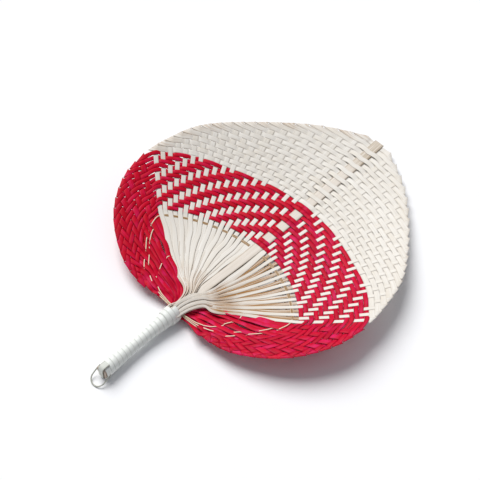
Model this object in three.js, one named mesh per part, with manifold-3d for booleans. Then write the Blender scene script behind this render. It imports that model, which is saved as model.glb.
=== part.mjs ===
// Woven hand fan: red and natural bamboo strips on a centre rib, with a bound handle.
// Each strip is one long piece. It leaves the neck as a leg, folds at the rim, crosses the
// blade as a row, folds at the other rim and runs back to the neck as a second leg.
// Millimetres. Y runs from handle to tip, Z is up, and the blade is hollow on its upper side.
import * as THREE from 'three';
import { mergeVertices } from 'three/addons/utils/BufferGeometryUtils.js';
import Module from 'manifold-3d';

const wasm = await Module();
wasm.setup();

// Blade
const BLADE_LENGTH = 271;
const BLADE_HALF_WIDTH = 133;
const DISH_LOW_POINT = 116;
const DISH_SIDE_RISE = 26;
const DISH_TIP_RISE = 4;
// Outline from the tip to the lower corner, as shares of half width and length
const OUTLINE = [
  [0, 1], [0.13, 0.989], [0.423, 0.897], [0.709, 0.747], [0.915, 0.596], [0.989, 0.458],
  [1, 0.347], [0.96, 0.249], [0.845, 0.151], [0.69, 0.081], [0.48, 0.027], [0.27, 0.012],
];
const OUTLINE_SAMPLES = 300;
const PATH_STEPS = 120;
const SECTOR_POINTS = 12;

// Strips and rows
const RED_COUNT = 14;
const NATURAL_COUNT = 19;
const STRIP_COUNT = RED_COUNT + NATURAL_COUNT;
const STRIP_THICKNESS = 0.35;
const WEAVE_GAP = 0.18;
const FLOAT_MARGIN = 0.16;
const BAND_INNER_RADIUS = 109.5;
const RED_ROW_PITCH = 4.32;
const NATURAL_ROW_PITCH = 5.15;
const ROW_FILL = 0.88;
const RED_ROW_FILL = 0.775;
const TWILL_REPEAT = 4;
const TWILL_FLOAT = 2;
const LOBE_ROW_SCALE = 1;
const LOBE_FOCUS_RADIUS = 66;
const COLOUR_GAP_SHARE = 1.67;
const LOBE_END_SHARE = 0.3;
const RIM_INSET = NATURAL_ROW_PITCH * ROW_FILL / 2;

// Legs, with angles in degrees from the centre line
const LEG_ANGLE_FIRST = 4;
const LEG_ANGLE_STEP = 2.9;
const LEG_ANGLE_CLOSING = 0.018;
const LOOSE_LEG_FILL = 0.7;
const WOVEN_LEG_FILL = 0.56;
const RED_LEG_FILL = 0.64;
const RED_LEG_WIDTH = 4.8;
const LEG_STEP = 34;
const BEND_LEGS = 3;
const LOOSE_STATIONS = [0.12, 0.7, 1];

// Gathers: arcs on which the legs end, one per colour and side
const NATURAL_GATHER_X = 4;
const NATURAL_GATHER_Y = 26;
const NATURAL_GATHER_RADIUS = 21;
const NATURAL_GATHER_ANGLE = 8;
const NATURAL_GATHER_ANGLE_STEP = 3.4;
const RED_GATHER_X = 4;
const RED_GATHER_Y = 15;
const RED_GATHER_RADIUS = 26;
const RED_GATHER_ANGLE = 55;
const RED_GATHER_ANGLE_STEP = 1.92;
const GATHER_GAP = 0.3;

// Bundles: the strips of one gather, drawn together into the neck
const BUNDLE_START_THICKNESS = 0.7;
const BUNDLE_END_Y = 0.4;
const BUNDLE_LIFT_SHARE = 0.35;
const BUNDLE_NECK_LEAD = 1;
const BUNDLE_COLUMNS = 4;
const BUNDLE_ROWS = 7;
const NATURAL_BUNDLE_WIDTH = 5;
const NATURAL_BUNDLE_HEIGHT = 1.8;
const NATURAL_BUNDLE_SHIFT = 1.5;
const LOWER_BUNDLE_LIFT = 1.7;
const UPPER_BUNDLE_LIFT = 3.85;
const RED_BUNDLE_WIDTH = 4;
const RED_BUNDLE_HEIGHT = 2.2;
const RED_BUNDLE_SHIFT = 2.75;
const RED_BUNDLE_LIFT = -2.7;

// Centre rib
const RIB_WIDTH = 10;
const RIB_NECK_WIDTH = 7.5;
const RIB_THICKNESS = 0.8;
const RIB_STEP = 15;

// Splint hoops, which stiffen the loose legs and end in the neck
const HOOP_WIDTH = 1.1;
const HOOP_THICKNESS = 0.45;
const OUTER_HOOP_INSET = 5.5;
const MIDDLE_HOOP_INSET = 10;
const INNER_HOOP_INSET = 47.5;
const HOOP_EXIT_SHARES = [0.68, 0.48, 0.28];
const HOOP_PATH_STEPS = 240;
// Tail points: multiples of the neck half width out, and shares of the height above the tail's end
const HOOP_TAIL = [[4.4, 1], [2.2, 1], [1.15, 1], [1, 0.6], [1, 0]];
const HOOP_TAIL_MULTIPLES = 10;
const HOOP_TAIL_STATIONS = [0.1, 0.3, 0.5, 0.62, 0.7, 0.78, 0.88, 1];
const HOOP_STACK_SHARE = 0.22;
const HOOP_STACK_RISE = 0.85;
const HOOP_STACK_LIFT = -0.4;
const HOOP_NECK_X = 5.1;

// Handle
const HANDLE_LENGTH = 77;
const CORE_NECK_RADIUS = 6.2;
const CORE_WAIST_RADIUS = 4;
const CORE_BUTT_RADIUS = 5.9;
const CORE_WAIST_AT = 35;
const CORE_SIDES = 18;
const CORE_STATIONS = 8;

// Binding: a flat strip wound on the neck and the core
const BINDING_WIDTH = 4.1;
const BINDING_PITCH = 4.6;
const BINDING_THICKNESS = 0.6;
const BINDING_GAP = 0.3;
const BINDING_TURN_STEPS = 12;
const BINDING_TOP = 7.5;
const COLLAR_INNER_RADIUS = 6.9;
const COLLAR_FADE = 8;
const COLLAR_TURNS = 2.2;

// Fold over the butt
const FOLD_WIDTH = 6;
const FOLD_REACH = 7;
const BINDING_END_GAP = 0.76;
const BINDING_TURNS = (BINDING_TOP + HANDLE_LENGTH - FOLD_REACH - BINDING_WIDTH - BINDING_END_GAP)
  / BINDING_PITCH;

// Hanging loop
const LOOP_WIRE_RADIUS = 0.6;
const LOOP_LENGTH = 17;
const LOOP_HALF_WIDTH = 6.8;
const LOOP_PIN_END = 1.8;
const LOOP_CORNER = 1.6;
const LOOP_ARC_STEPS = 3;
const LOOP_STEPS = 36;
const PIVOT_FROM_BUTT = 4.5;
const PIVOT_CLEARANCE = 0.1;
const PIVOT_BORE_RADIUS = LOOP_WIRE_RADIUS + PIVOT_CLEARANCE;
const PIVOT_BORE_SIDES = 16;
const PIVOT_BORE_OVERRUN = 3;
const FLOOR_GAP = 0.1;

// Heights that follow from the sizes above
const LEG_LIFT = STRIP_THICKNESS + WEAVE_GAP;
const RIB_LIFT = (RIB_THICKNESS + STRIP_THICKNESS) / 2 + WEAVE_GAP;
const HOOP_LEG_LIFT = (HOOP_THICKNESS + STRIP_THICKNESS) / 2 + WEAVE_GAP;
const HOOP_RIB_LIFT = (HOOP_THICKNESS + RIB_THICKNESS) / 2 + WEAVE_GAP;
const BELLY_DEPTH = RIB_LIFT + STRIP_THICKNESS / 2;
const FOLD_OUTER = CORE_BUTT_RADIUS + BINDING_GAP + BINDING_THICKNESS;
const COLLAR_OUTER = COLLAR_INNER_RADIUS + BINDING_GAP + 2 * BINDING_THICKNESS;
const AXIS_HEIGHT = COLLAR_OUTER - BELLY_DEPTH;

const FINISHES = {
  natural: { color: 0xe9e2d2, roughness: 0.55 },
  red: { color: 0xc4122f, roughness: 0.5 },
  rib: { color: 0xe6dcc6, roughness: 0.6 },
  splint: { color: 0xd9c49a, roughness: 0.6 },
  core: { color: 0xd8b99a, roughness: 0.7 },
  binding: { color: 0xdde1d8, roughness: 0.4 },
  loop: { color: 0xb4b5ab, roughness: 0.4 },
};

const { clamp, degToRad, lerp, smoothstep } = THREE.MathUtils;

function ease(share) {
  return smoothstep(share, 0, 1);
}

// Height of the blade's middle surface, level with the handle's axis at the neck
function dish(x, y) {
  const side = DISH_SIDE_RISE * (x / BLADE_HALF_WIDTH) ** 2;
  if (y > DISH_LOW_POINT) {
    return side + DISH_TIP_RISE * ((y - DISH_LOW_POINT) / (BLADE_LENGTH - DISH_LOW_POINT)) ** 2;
  }
  const share = Math.min(1, (DISH_LOW_POINT - y) / DISH_LOW_POINT);
  return side + AXIS_HEIGHT * (1 - Math.cos(Math.PI * share)) / 2;
}

function polar(radius, angle) {
  return new THREE.Vector2(radius * Math.sin(angle), radius * Math.cos(angle));
}

function angleOf(point) {
  return Math.atan2(point.x, point.y);
}

// Paths are plan polylines with their running length
function pathOf(points) {
  const lengths = [0];
  for (let i = 1; i < points.length; i += 1) {
    lengths.push(lengths[i - 1] + points[i].distanceTo(points[i - 1]));
  }
  return { points, lengths, total: lengths[lengths.length - 1] };
}

function pathPlace(path, length) {
  let i = 1;
  while (i < path.points.length - 1 && path.lengths[i] < length) i += 1;
  const share = (length - path.lengths[i - 1]) / (path.lengths[i] - path.lengths[i - 1]);
  const from = path.points[i - 1];
  const along = path.points[i].clone().sub(from);
  return { point: from.clone().addScaledVector(along, share), along: along.normalize() };
}

function distanceToPath(point, path) {
  let least = Infinity;
  for (let i = 1; i < path.points.length; i += 1) {
    const from = path.points[i - 1];
    const along = path.points[i].clone().sub(from);
    const share = clamp(point.clone().sub(from).dot(along) / along.lengthSq(), 0, 1);
    least = Math.min(least, from.clone().addScaledVector(along, share).distanceTo(point));
  }
  return least;
}

// A smooth run through plan points that stays close to them where their spacing changes
function smoothPoints(points, steps) {
  const corners = points.map(({ x, y }) => new THREE.Vector3(x, y, 0));
  const curve = new THREE.CatmullRomCurve3(corners, false, 'centripetal');
  return curve.getPoints(steps).map(({ x, y }) => new THREE.Vector2(x, y));
}

// Rim of the right half, from the tip to the lower corner near the neck
const outlineCurve = new THREE.SplineCurve(
  OUTLINE.map(([x, y]) => new THREE.Vector2(x * BLADE_HALF_WIDTH, y * BLADE_LENGTH)),
);
const rim = pathOf(outlineCurve.getPoints(OUTLINE_SAMPLES));

function rimLength(angle) {
  let i = 1;
  while (angleOf(rim.points[i]) < angle) i += 1;
  const from = angleOf(rim.points[i - 1]);
  const share = (angle - from) / (angleOf(rim.points[i]) - from);
  return lerp(rim.lengths[i - 1], rim.lengths[i], share);
}

function rimRadius(angle) {
  return pathPlace(rim, rimLength(angle)).point.length();
}

// Strips count from 1, the innermost red one, to STRIP_COUNT, the one at the tip
function naturalAngle(strip) {
  const fromCentre = STRIP_COUNT - strip;
  const step = LEG_ANGLE_STEP - LEG_ANGLE_CLOSING * fromCentre;
  return degToRad(LEG_ANGLE_FIRST + step * fromCentre);
}

const SECTOR_ANGLE = naturalAngle(RED_COUNT + 1);
const LOBE_START = rimLength(SECTOR_ANGLE);
const LOBE_FOLD_PITCH = (rim.total - LOBE_START) / (RED_COUNT - 1 + COLOUR_GAP_SHARE + LOBE_END_SHARE);
const LOBE_FOCUS = polar(LOBE_FOCUS_RADIUS, SECTOR_ANGLE);

// Number, with a fraction, of the strip whose fold would stand at an angle of the sector
function stripAtAngle(angle) {
  const first = naturalAngle(STRIP_COUNT);
  if (angle <= first) return STRIP_COUNT + (1 - angle / first) / 2;
  let strip = STRIP_COUNT - 1;
  while (strip > RED_COUNT + 1 && naturalAngle(strip) < angle) strip -= 1;
  const from = naturalAngle(strip + 1);
  return strip + 1 - (angle - from) / (naturalAngle(strip) - from);
}

function rowsDepth(rows) {
  if (rows <= RED_COUNT) return rows * RED_ROW_PITCH;
  return RED_COUNT * RED_ROW_PITCH + (rows - RED_COUNT) * NATURAL_ROW_PITCH;
}

function sectorScale(angle) {
  const depth = rimRadius(angle) - RIM_INSET - BAND_INNER_RADIUS;
  return depth / rowsDepth(stripAtAngle(angle) - 0.5);
}

// In the sector rows are counted in from the rim along the line to the neck
function sectorPoint(strip, angle) {
  const inward = rowsDepth(stripAtAngle(angle) - 0.5) - rowsDepth(strip - 0.5);
  return polar(rimRadius(angle) - RIM_INSET - sectorScale(angle) * inward, angle);
}

// Rim length at which a red strip folds; the first fold stands clear of the natural legs
function foldLength(strip) {
  return LOBE_START + LOBE_FOLD_PITCH * (COLOUR_GAP_SHARE + RED_COUNT - strip);
}

// In a lobe rows are counted in from the fold of another strip along the line to the focus
function lobePoint(strip, folded) {
  const inward = rowsDepth(folded - 0.5) - rowsDepth(strip - 0.5);
  const scale = lerp(LOBE_ROW_SCALE, sectorScale(SECTOR_ANGLE), folded / (RED_COUNT + 1));
  const edge = pathPlace(rim, foldLength(folded)).point;
  const depth = RIM_INSET + scale * inward;
  return edge.clone().add(LOBE_FOCUS.clone().sub(edge).setLength(depth));
}

// Right half of a row, from the centre line to its fold
function rowPath(strip) {
  const natural = strip > RED_COUNT;
  const end = natural ? naturalAngle(strip) : SECTOR_ANGLE;
  const points = [];
  for (let i = 0; i <= SECTOR_POINTS; i += 1) points.push(sectorPoint(strip, end * i / SECTOR_POINTS));
  for (let folded = RED_COUNT; folded >= strip; folded -= 1) points.push(lobePoint(strip, folded));
  return pathOf(smoothPoints(points, PATH_STEPS));
}

function gatherPoint(gather, place, gap) {
  const point = polar(gather.radius - gap, degToRad(gather.first + gather.step * place));
  return point.add(new THREE.Vector2(gather.x, gather.y));
}

const NATURAL_GATHER = {
  x: NATURAL_GATHER_X,
  y: NATURAL_GATHER_Y,
  radius: NATURAL_GATHER_RADIUS,
  first: NATURAL_GATHER_ANGLE,
  step: NATURAL_GATHER_ANGLE_STEP,
  count: NATURAL_COUNT,
};
const RED_GATHER = {
  x: RED_GATHER_X,
  y: RED_GATHER_Y,
  radius: RED_GATHER_RADIUS,
  first: RED_GATHER_ANGLE,
  step: RED_GATHER_ANGLE_STEP,
  count: RED_COUNT,
};

// A leg runs from its fold at the rim in to its gather
function legPath(strip, fold) {
  if (strip <= RED_COUNT) return pathOf([fold, gatherPoint(RED_GATHER, RED_COUNT - strip, 0)]);
  const bend = polar(BAND_INNER_RADIUS, naturalAngle(strip));
  return pathOf([fold, bend, gatherPoint(NATURAL_GATHER, STRIP_COUNT - strip, 0)]);
}

const strips = [];
for (let number = 1; number <= STRIP_COUNT; number += 1) {
  const row = rowPath(number);
  const leg = legPath(number, row.points[row.points.length - 1]);
  strips.push({ number, natural: number > RED_COUNT, row, leg });
}

// Width of a row or leg at a point, as a share of the room that its neighbours leave
function roomFor(number, kind, point) {
  const sides = [strips[number - 2], strips[number]].filter((other) => other);
  const alike = sides.filter((other) => other.natural === strips[number - 1].natural);
  return Math.min(...alike.map((other) => distanceToPath(point, other[kind])));
}

function rowWidth(number, point) {
  const room = roomFor(number, 'row', point);
  if (strips[number - 1].natural) return ROW_FILL * Math.min(room, NATURAL_ROW_PITCH);
  return RED_ROW_FILL * Math.min(room, RED_ROW_PITCH);
}

function legWidth(number, point) {
  const room = roomFor(number, 'leg', point);
  if (!strips[number - 1].natural) return Math.min(RED_LEG_FILL * room, RED_LEG_WIDTH);
  const beyond = (point.length() - BAND_INNER_RADIUS) / (RED_COUNT * RED_ROW_PITCH);
  return lerp(LOOSE_LEG_FILL, WOVEN_LEG_FILL, clamp(beyond, 0, 1)) * room;
}

// A section is a level cut of a strip: its outer and inner edge, each with bottom and top
function section(outer, inner, lift, thickness) {
  const edge = (p) => {
    const height = dish(p.x, p.y) + lift;
    return [[p.x, p.y, height - thickness / 2], [p.x, p.y, height + thickness / 2]];
  };
  return [...edge(outer), ...edge(inner).reverse()];
}

function acrossSection(point, outward, width, lift, thickness) {
  const half = outward.clone().setLength(width / 2);
  return section(point.clone().add(half), point.clone().sub(half), lift, thickness);
}

function mirrored(sections) {
  return sections.map((cut) => cut.map(([x, y, z]) => [-x, y, z])).reverse();
}

function solidFrom(positions, faces) {
  const geometry = new THREE.BufferGeometry();
  geometry.setAttribute('position', new THREE.Float32BufferAttribute(positions.flat(), 3));
  geometry.setIndex(faces.flat());
  geometry.computeVertexNormals();
  return geometry;
}

// Join cuts of four corners each into one closed solid
function ribbon(sections) {
  const positions = sections.flat();
  const faces = [[0, 2, 1], [0, 3, 2]];
  for (let i = 1; i < sections.length; i += 1) {
    for (let k = 0; k < 4; k += 1) {
      const a = 4 * (i - 1) + k;
      const b = 4 * (i - 1) + (k + 1) % 4;
      faces.push([a, b + 4, a + 4], [a, b, b + 4]);
    }
  }
  const last = 4 * (sections.length - 1);
  faces.push([last, last + 1, last + 2], [last, last + 2, last + 3]);
  return solidFrom(positions, faces);
}

// Places where a path meets the legs, in order along the path
function crossings(path, others) {
  const found = [];
  others.forEach((other) => {
    const leg = other.leg.points;
    for (let k = 1; k < leg.length; k += 1) {
      for (let i = 1; i < path.points.length; i += 1) {
        const hit = meeting(path.points[i - 1], path.points[i], leg[k - 1], leg[k]);
        if (hit) found.push({ ...hit, number: other.number, length: path.lengths[i - 1] + hit.run });
      }
    }
  });
  found.forEach((hit) => {
    const sine = leftOf(pathPlace(path, hit.length).along).dot(hit.across);
    hit.half = legWidth(hit.number, hit.point) / 2 / sine + FLOAT_MARGIN;
    hit.place = STRIP_COUNT - hit.number;
  });
  return found.sort((one, two) => one.length - two.length);
}

// Meeting point of two plan segments, with the second one's direction turned outward
function meeting(a, b, c, d) {
  const u = b.clone().sub(a);
  const v = d.clone().sub(c);
  const w = c.clone().sub(a);
  const cross = u.cross(v);
  const onFirst = w.cross(v) / cross;
  const onSecond = w.cross(u) / cross;
  if (onFirst < 0 || onFirst >= 1 || onSecond < 0 || onSecond >= 1) return null;
  const point = a.clone().addScaledVector(u, onFirst);
  return { point, run: u.length() * onFirst, across: v.normalize().negate() };
}

// Weave rules: place is -1 for the rib and counts the legs from the centre line
function rowIsOver(number, place) {
  if (number <= RED_COUNT) return (number + place) % TWILL_REPEAT < TWILL_FLOAT;
  if (number === STRIP_COUNT && place < 0) return false;
  return (number - RED_COUNT + place) % 2 === 0;
}

// Twill: level floats with a step in the gap between two legs of unlike side
function twillStops(hits, isOver, riseOverLeg, riseOverRib) {
  const sign = (place) => (isOver(place) ? 1 : -1);
  const stops = [{ length: RIB_WIDTH / 2 + FLOAT_MARGIN, lift: sign(-1) * riseOverRib }];
  hits.forEach((hit, i) => {
    const before = i === 0 ? -1 : hits[i - 1].place;
    const next = hits[i + 1];
    const { across } = hit;
    const lift = sign(hit.place) * riseOverLeg;
    if (sign(before) !== sign(hit.place)) stops.push({ length: hit.length - hit.half, lift, across });
    if (!next || sign(next.place) !== sign(hit.place)) {
      stops.push({ length: hit.length + hit.half, lift, across });
    } else if (hit.place >= NATURAL_COUNT - BEND_LEGS) {
      const middle = across.clone().add(next.across);
      stops.push({ length: (hit.length + next.length) / 2, lift, across: middle });
    }
  });
  return stops;
}

// Plain weave: one crest or trough over each leg, high enough to clear the leg's edges
function plainStops(hits, isOver) {
  const ribHalf = RIB_WIDTH / 2 + FLOAT_MARGIN;
  let rise = LEG_LIFT;
  hits.forEach((hit, i) => {
    const slope = hit.half / (hit.length - (i === 0 ? ribHalf : hits[i - 1].length));
    if (i === 0) rise = Math.max(rise, (LEG_LIFT + RIB_LIFT * slope) / (1 - slope));
    else rise = Math.max(rise, LEG_LIFT / (1 - 2 * slope));
  });
  const stops = [{ length: ribHalf, lift: isOver(-1) ? RIB_LIFT : -RIB_LIFT }];
  hits.forEach(({ length, place, across }) => {
    stops.push({ length, lift: isOver(place) ? rise : -rise, across });
  });
  return stops;
}

// Turn left: on the right half this points out of the loop that a strip makes
function leftOf(along) {
  return new THREE.Vector2(-along.y, along.x);
}

// Cuts at the stops of a path, each laid along the leg that it crosses
function cutsAt(path, stops, widthAt, thickness) {
  return stops.map(({ length, lift, across }) => {
    const { point, along } = pathPlace(path, length);
    const square = leftOf(along);
    const outward = across ? across.clone().normalize() : square;
    return acrossSection(point, outward, widthAt(point) / outward.dot(square), lift, thickness);
  });
}

function rowSections({ number, natural, row }) {
  const hits = crossings(row, strips.slice(number));
  const isOver = (place) => rowIsOver(number, place);
  const stops = natural ? plainStops(hits, isOver) : twillStops(hits, isOver, LEG_LIFT, RIB_LIFT);
  return cutsAt(row, stops, (point) => rowWidth(number, point), STRIP_THICKNESS);
}

// The fold at the rim, where a row turns into its leg
function foldSection({ number, row, leg }) {
  const point = leg.points[0];
  const ends = [pathPlace(row, row.total).along, pathPlace(leg, 0).along];
  const outward = leftOf(ends[0]).add(leftOf(ends[1])).normalize();
  const stretch = outward.dot(leftOf(ends[0]));
  const width = (rowWidth(number, point) + legWidth(number, point)) / 2 / stretch;
  return acrossSection(point, outward, width, 0, STRIP_THICKNESS);
}

// Lengths of a leg's sections from the fold in
function legStations({ natural, leg }) {
  const steepness = Math.abs(leg.points[1].x - leg.points[0].x) / leg.lengths[1];
  const step = LEG_STEP / (1 + steepness);
  const count = Math.ceil(leg.lengths[1] / step);
  const stations = [];
  for (let i = 1; i <= count; i += 1) stations.push(leg.lengths[1] * i / count);
  if (!natural) return stations;
  const loose = leg.total - leg.lengths[1];
  return [...stations, ...LOOSE_STATIONS.map((share) => leg.lengths[1] + loose * share)];
}

function legSections(strip) {
  return legStations(strip).map((length) => {
    const { point, along } = pathPlace(strip.leg, length);
    const width = legWidth(strip.number, point);
    return acrossSection(point, leftOf(along), width, 0, STRIP_THICKNESS);
  });
}

function wovenStrip(strip) {
  const half = [...rowSections(strip), foldSection(strip), ...legSections(strip)];
  return ribbon([...mirrored(half), ...half]);
}

function centreRib() {
  const count = Math.ceil((BLADE_LENGTH - BUNDLE_END_Y) / RIB_STEP);
  const cuts = [];
  for (let i = 0; i <= count; i += 1) {
    const y = lerp(BLADE_LENGTH, BUNDLE_END_Y, i / count);
    const half = lerp(RIB_NECK_WIDTH, RIB_WIDTH, Math.min(1, y / BAND_INNER_RADIUS)) / 2;
    const left = new THREE.Vector2(-half, y);
    cuts.push(section(new THREE.Vector2(half, y), left, 0, RIB_THICKNESS));
  }
  return ribbon(cuts);
}

function arcPoints(radius, end) {
  const points = [];
  for (let i = 0; i <= PATH_STEPS; i += 1) points.push(polar(radius, end * i / PATH_STEPS));
  return points;
}

// Hoops: an arc over the rib and the natural legs, a run across the red legs, then a tail along
// the lower edge into the neck
function hoopPath(radius, exitShare) {
  const [lastNatural] = crossings(pathOf(arcPoints(radius, SECTOR_ANGLE)), [strips[RED_COUNT]]);
  const arc = arcPoints(radius, angleOf(lastNatural.point));
  const inner = gatherPoint(RED_GATHER, 0, 0).length();
  const startShare = (radius - inner) / (BAND_INNER_RADIUS - inner);
  const bends = [arc[PATH_STEPS]];
  for (let number = RED_COUNT; number >= 1; number -= 1) {
    const { leg } = strips[number - 1];
    const [hit] = number > 1 ? crossings(strips[0].row, [strips[number - 1]]) : [];
    const gather = leg.points[1];
    const band = hit ? hit.point : leg.points[0];
    const share = lerp(startShare, exitShare, (RED_COUNT - number) / (RED_COUNT - 1));
    bends.push(gather.clone().lerp(band, share));
  }
  const exit = bends[RED_COUNT];
  const tailTop = (x) => lerp(BINDING_TOP, exit.y, x / HOOP_TAIL_MULTIPLES);
  HOOP_TAIL.forEach(([x, share]) => bends.push(
    new THREE.Vector2(HOOP_NECK_X * x, lerp(BUNDLE_END_Y, tailTop(x), share)),
  ));
  const path = pathOf([...arc, ...smoothPoints(bends, HOOP_PATH_STEPS).slice(1)]);
  const nearest = path.points.map((point) => point.distanceTo(exit));
  return { path, exitLength: path.lengths[nearest.indexOf(Math.min(...nearest))] };
}

function hoop(inset, place, exitShare) {
  const { path, exitLength } = hoopPath(BAND_INNER_RADIUS - inset, exitShare);
  const isOver = (leg) => {
    const run = place === 0 && leg < NATURAL_COUNT ? leg + 1 : Math.floor((leg + 1) / 2);
    return (run + place) % 2 === 0;
  };
  const stops = twillStops(crossings(path, strips), isOver, HOOP_LEG_LIFT, HOOP_RIB_LIFT);
  const stack = HOOP_STACK_LIFT + place * HOOP_STACK_RISE;
  HOOP_TAIL_STATIONS.forEach((share) => {
    const length = lerp(exitLength, path.total, share);
    stops.push({ length, lift: stack * ease(share / HOOP_STACK_SHARE) });
  });
  const half = cutsAt(path, stops, () => HOOP_WIDTH, HOOP_THICKNESS);
  return ribbon([...mirrored(half), ...half]);
}

// A bundle: wide and thin at its gather arc, narrow and thick where it enters the neck
function bundle(gather, side, end) {
  const at = (column, row) => {
    const across = column / BUNDLE_COLUMNS;
    const along = row / BUNDLE_ROWS;
    const start = gatherPoint(gather, lerp(-0.5, gather.count - 0.5, across), GATHER_GAP);
    const endX = end.shift + (across - 0.5) * end.width;
    const y = lerp(start.y, BUNDLE_END_Y, along);
    const narrowed = (start.y - y) / (start.y - BINDING_TOP - BUNDLE_NECK_LEAD);
    const x = side * lerp(start.x, endX, ease(narrowed));
    const height = dish(x, y) + end.lift * ease(along / BUNDLE_LIFT_SHARE);
    const half = lerp(BUNDLE_START_THICKNESS, end.height, ease(along)) / 2;
    return [[x, y, height - half], [x, y, height + half]];
  };
  const positions = [];
  for (let row = 0; row <= BUNDLE_ROWS; row += 1) {
    for (let column = 0; column <= BUNDLE_COLUMNS; column += 1) positions.push(...at(column, row));
  }
  const index = (column, row, top) => 2 * (row * (BUNDLE_COLUMNS + 1) + column) + top;
  const faces = [];
  const quad = (a, b, c, d) => {
    if (side > 0) faces.push([a, b, c], [a, c, d]);
    else faces.push([a, c, b], [a, d, c]);
  };
  for (let row = 0; row < BUNDLE_ROWS; row += 1) {
    for (let column = 0; column < BUNDLE_COLUMNS; column += 1) {
      const ring = [[column, row], [column, row + 1], [column + 1, row + 1], [column + 1, row]];
      quad(...ring.map(([c, r]) => index(c, r, 1)));
      quad(...ring.map(([c, r]) => index(c, r, 0)).reverse());
    }
    const last = BUNDLE_COLUMNS;
    quad(index(0, row, 0), index(0, row + 1, 0), index(0, row + 1, 1), index(0, row, 1));
    quad(index(last, row, 1), index(last, row + 1, 1), index(last, row + 1, 0), index(last, row, 0));
  }
  for (let column = 0; column < BUNDLE_COLUMNS; column += 1) {
    const next = column + 1;
    quad(index(column, 0, 1), index(next, 0, 1), index(next, 0, 0), index(column, 0, 0));
    const foot = [index(column, BUNDLE_ROWS, 0), index(next, BUNDLE_ROWS, 0)];
    quad(...foot, index(next, BUNDLE_ROWS, 1), index(column, BUNDLE_ROWS, 1));
  }
  return solidFrom(positions, faces);
}

// Handle, about an axis along Y at the neck's height
function coreRadius(y) {
  if (-y < CORE_WAIST_AT) return lerp(CORE_NECK_RADIUS, CORE_WAIST_RADIUS, ease(-y / CORE_WAIST_AT));
  const share = (-y - CORE_WAIST_AT) / (HANDLE_LENGTH - CORE_WAIST_AT);
  return lerp(CORE_WAIST_RADIUS, CORE_BUTT_RADIUS, ease(share));
}

function manifoldOf(geometry) {
  const bare = geometry.clone();
  bare.deleteAttribute('normal');
  bare.deleteAttribute('uv');
  const merged = mergeVertices(bare);
  const mesh = new wasm.Mesh({
    numProp: 3,
    vertProperties: new Float32Array(merged.attributes.position.array),
    triVerts: new Uint32Array(merged.index.array),
  });
  return new wasm.Manifold(mesh);
}

function geometryOf(manifold) {
  const mesh = manifold.getMesh();
  const geometry = new THREE.BufferGeometry();
  geometry.setAttribute('position', new THREE.BufferAttribute(mesh.vertProperties, 3));
  geometry.setIndex(new THREE.BufferAttribute(mesh.triVerts, 1));
  geometry.computeVertexNormals();
  return geometry;
}

const PIVOT_Y = -(HANDLE_LENGTH - PIVOT_FROM_BUTT);

function handleCore() {
  const profile = [new THREE.Vector2(0, -HANDLE_LENGTH)];
  for (let i = 0; i <= CORE_STATIONS; i += 1) {
    const y = lerp(-HANDLE_LENGTH, 0, i / CORE_STATIONS);
    profile.push(new THREE.Vector2(coreRadius(y), y));
  }
  profile.push(new THREE.Vector2(0, 0));
  const body = new THREE.LatheGeometry(profile, CORE_SIDES);
  const boreLength = 2 * (CORE_BUTT_RADIUS + PIVOT_BORE_OVERRUN);
  const bore = new THREE.CylinderGeometry(
    PIVOT_BORE_RADIUS, PIVOT_BORE_RADIUS, boreLength, PIVOT_BORE_SIDES,
  );
  bore.rotateZ(Math.PI / 2);
  bore.translate(0, PIVOT_Y, 0);
  return geometryOf(manifoldOf(body).subtract(manifoldOf(bore)));
}

// Radius of the surface that the binding lies on
function seatRadius(y) {
  if (y >= 0) return COLLAR_INNER_RADIUS;
  const seat = coreRadius(y) + BINDING_GAP;
  const extra = COLLAR_INNER_RADIUS - CORE_NECK_RADIUS - BINDING_GAP;
  return seat + extra * (1 - ease(-y / COLLAR_FADE));
}

function windingCuts(turns, lift) {
  const cuts = [];
  const steps = Math.round(turns * BINDING_TURN_STEPS);
  for (let i = 0; i <= steps; i += 1) {
    const turn = i / BINDING_TURN_STEPS;
    const angle = 2 * Math.PI * turn;
    const y = BINDING_TOP - BINDING_WIDTH / 2 - BINDING_PITCH * turn;
    const corner = (offset, raise) => {
      const radius = seatRadius(y + offset) + lift + raise;
      return [radius * Math.sin(angle), y + offset, radius * Math.cos(angle)];
    };
    const half = BINDING_WIDTH / 2;
    cuts.push([corner(half, 0), corner(half, BINDING_THICKNESS),
      corner(-half, BINDING_THICKNESS), corner(-half, 0)]);
  }
  return cuts;
}

// Straight ends, one strip thickness long, along the winding's own direction
function withStraightEnds(cuts) {
  const extend = (from, to) => to.map((corner, k) => {
    const end = new THREE.Vector3(...corner);
    const step = end.clone().sub(new THREE.Vector3(...from[k])).setLength(BINDING_THICKNESS);
    return end.add(step).toArray();
  });
  const last = cuts.length - 1;
  return [extend(cuts[1], cuts[0]), ...cuts, extend(cuts[last - 1], cuts[last])];
}

function leastGap(cuts, stepsApart) {
  let least = Infinity;
  cuts.forEach((cut, i) => {
    cuts.slice(i + stepsApart).forEach((other) => {
      cut.forEach((p) => other.forEach((q) => {
        least = Math.min(least, new THREE.Vector3(...p).distanceTo(new THREE.Vector3(...q)));
      }));
    });
  });
  return least;
}

function winding(name, turns, lift) {
  const cuts = withStraightEnds(windingCuts(turns, lift));
  const gap = leastGap(cuts, Math.round(BINDING_TURN_STEPS / 2));
  console.log(`${name}: least gap to itself ${gap.toFixed(2)} mm`);
  return ribbon(cuts);
}

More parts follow.
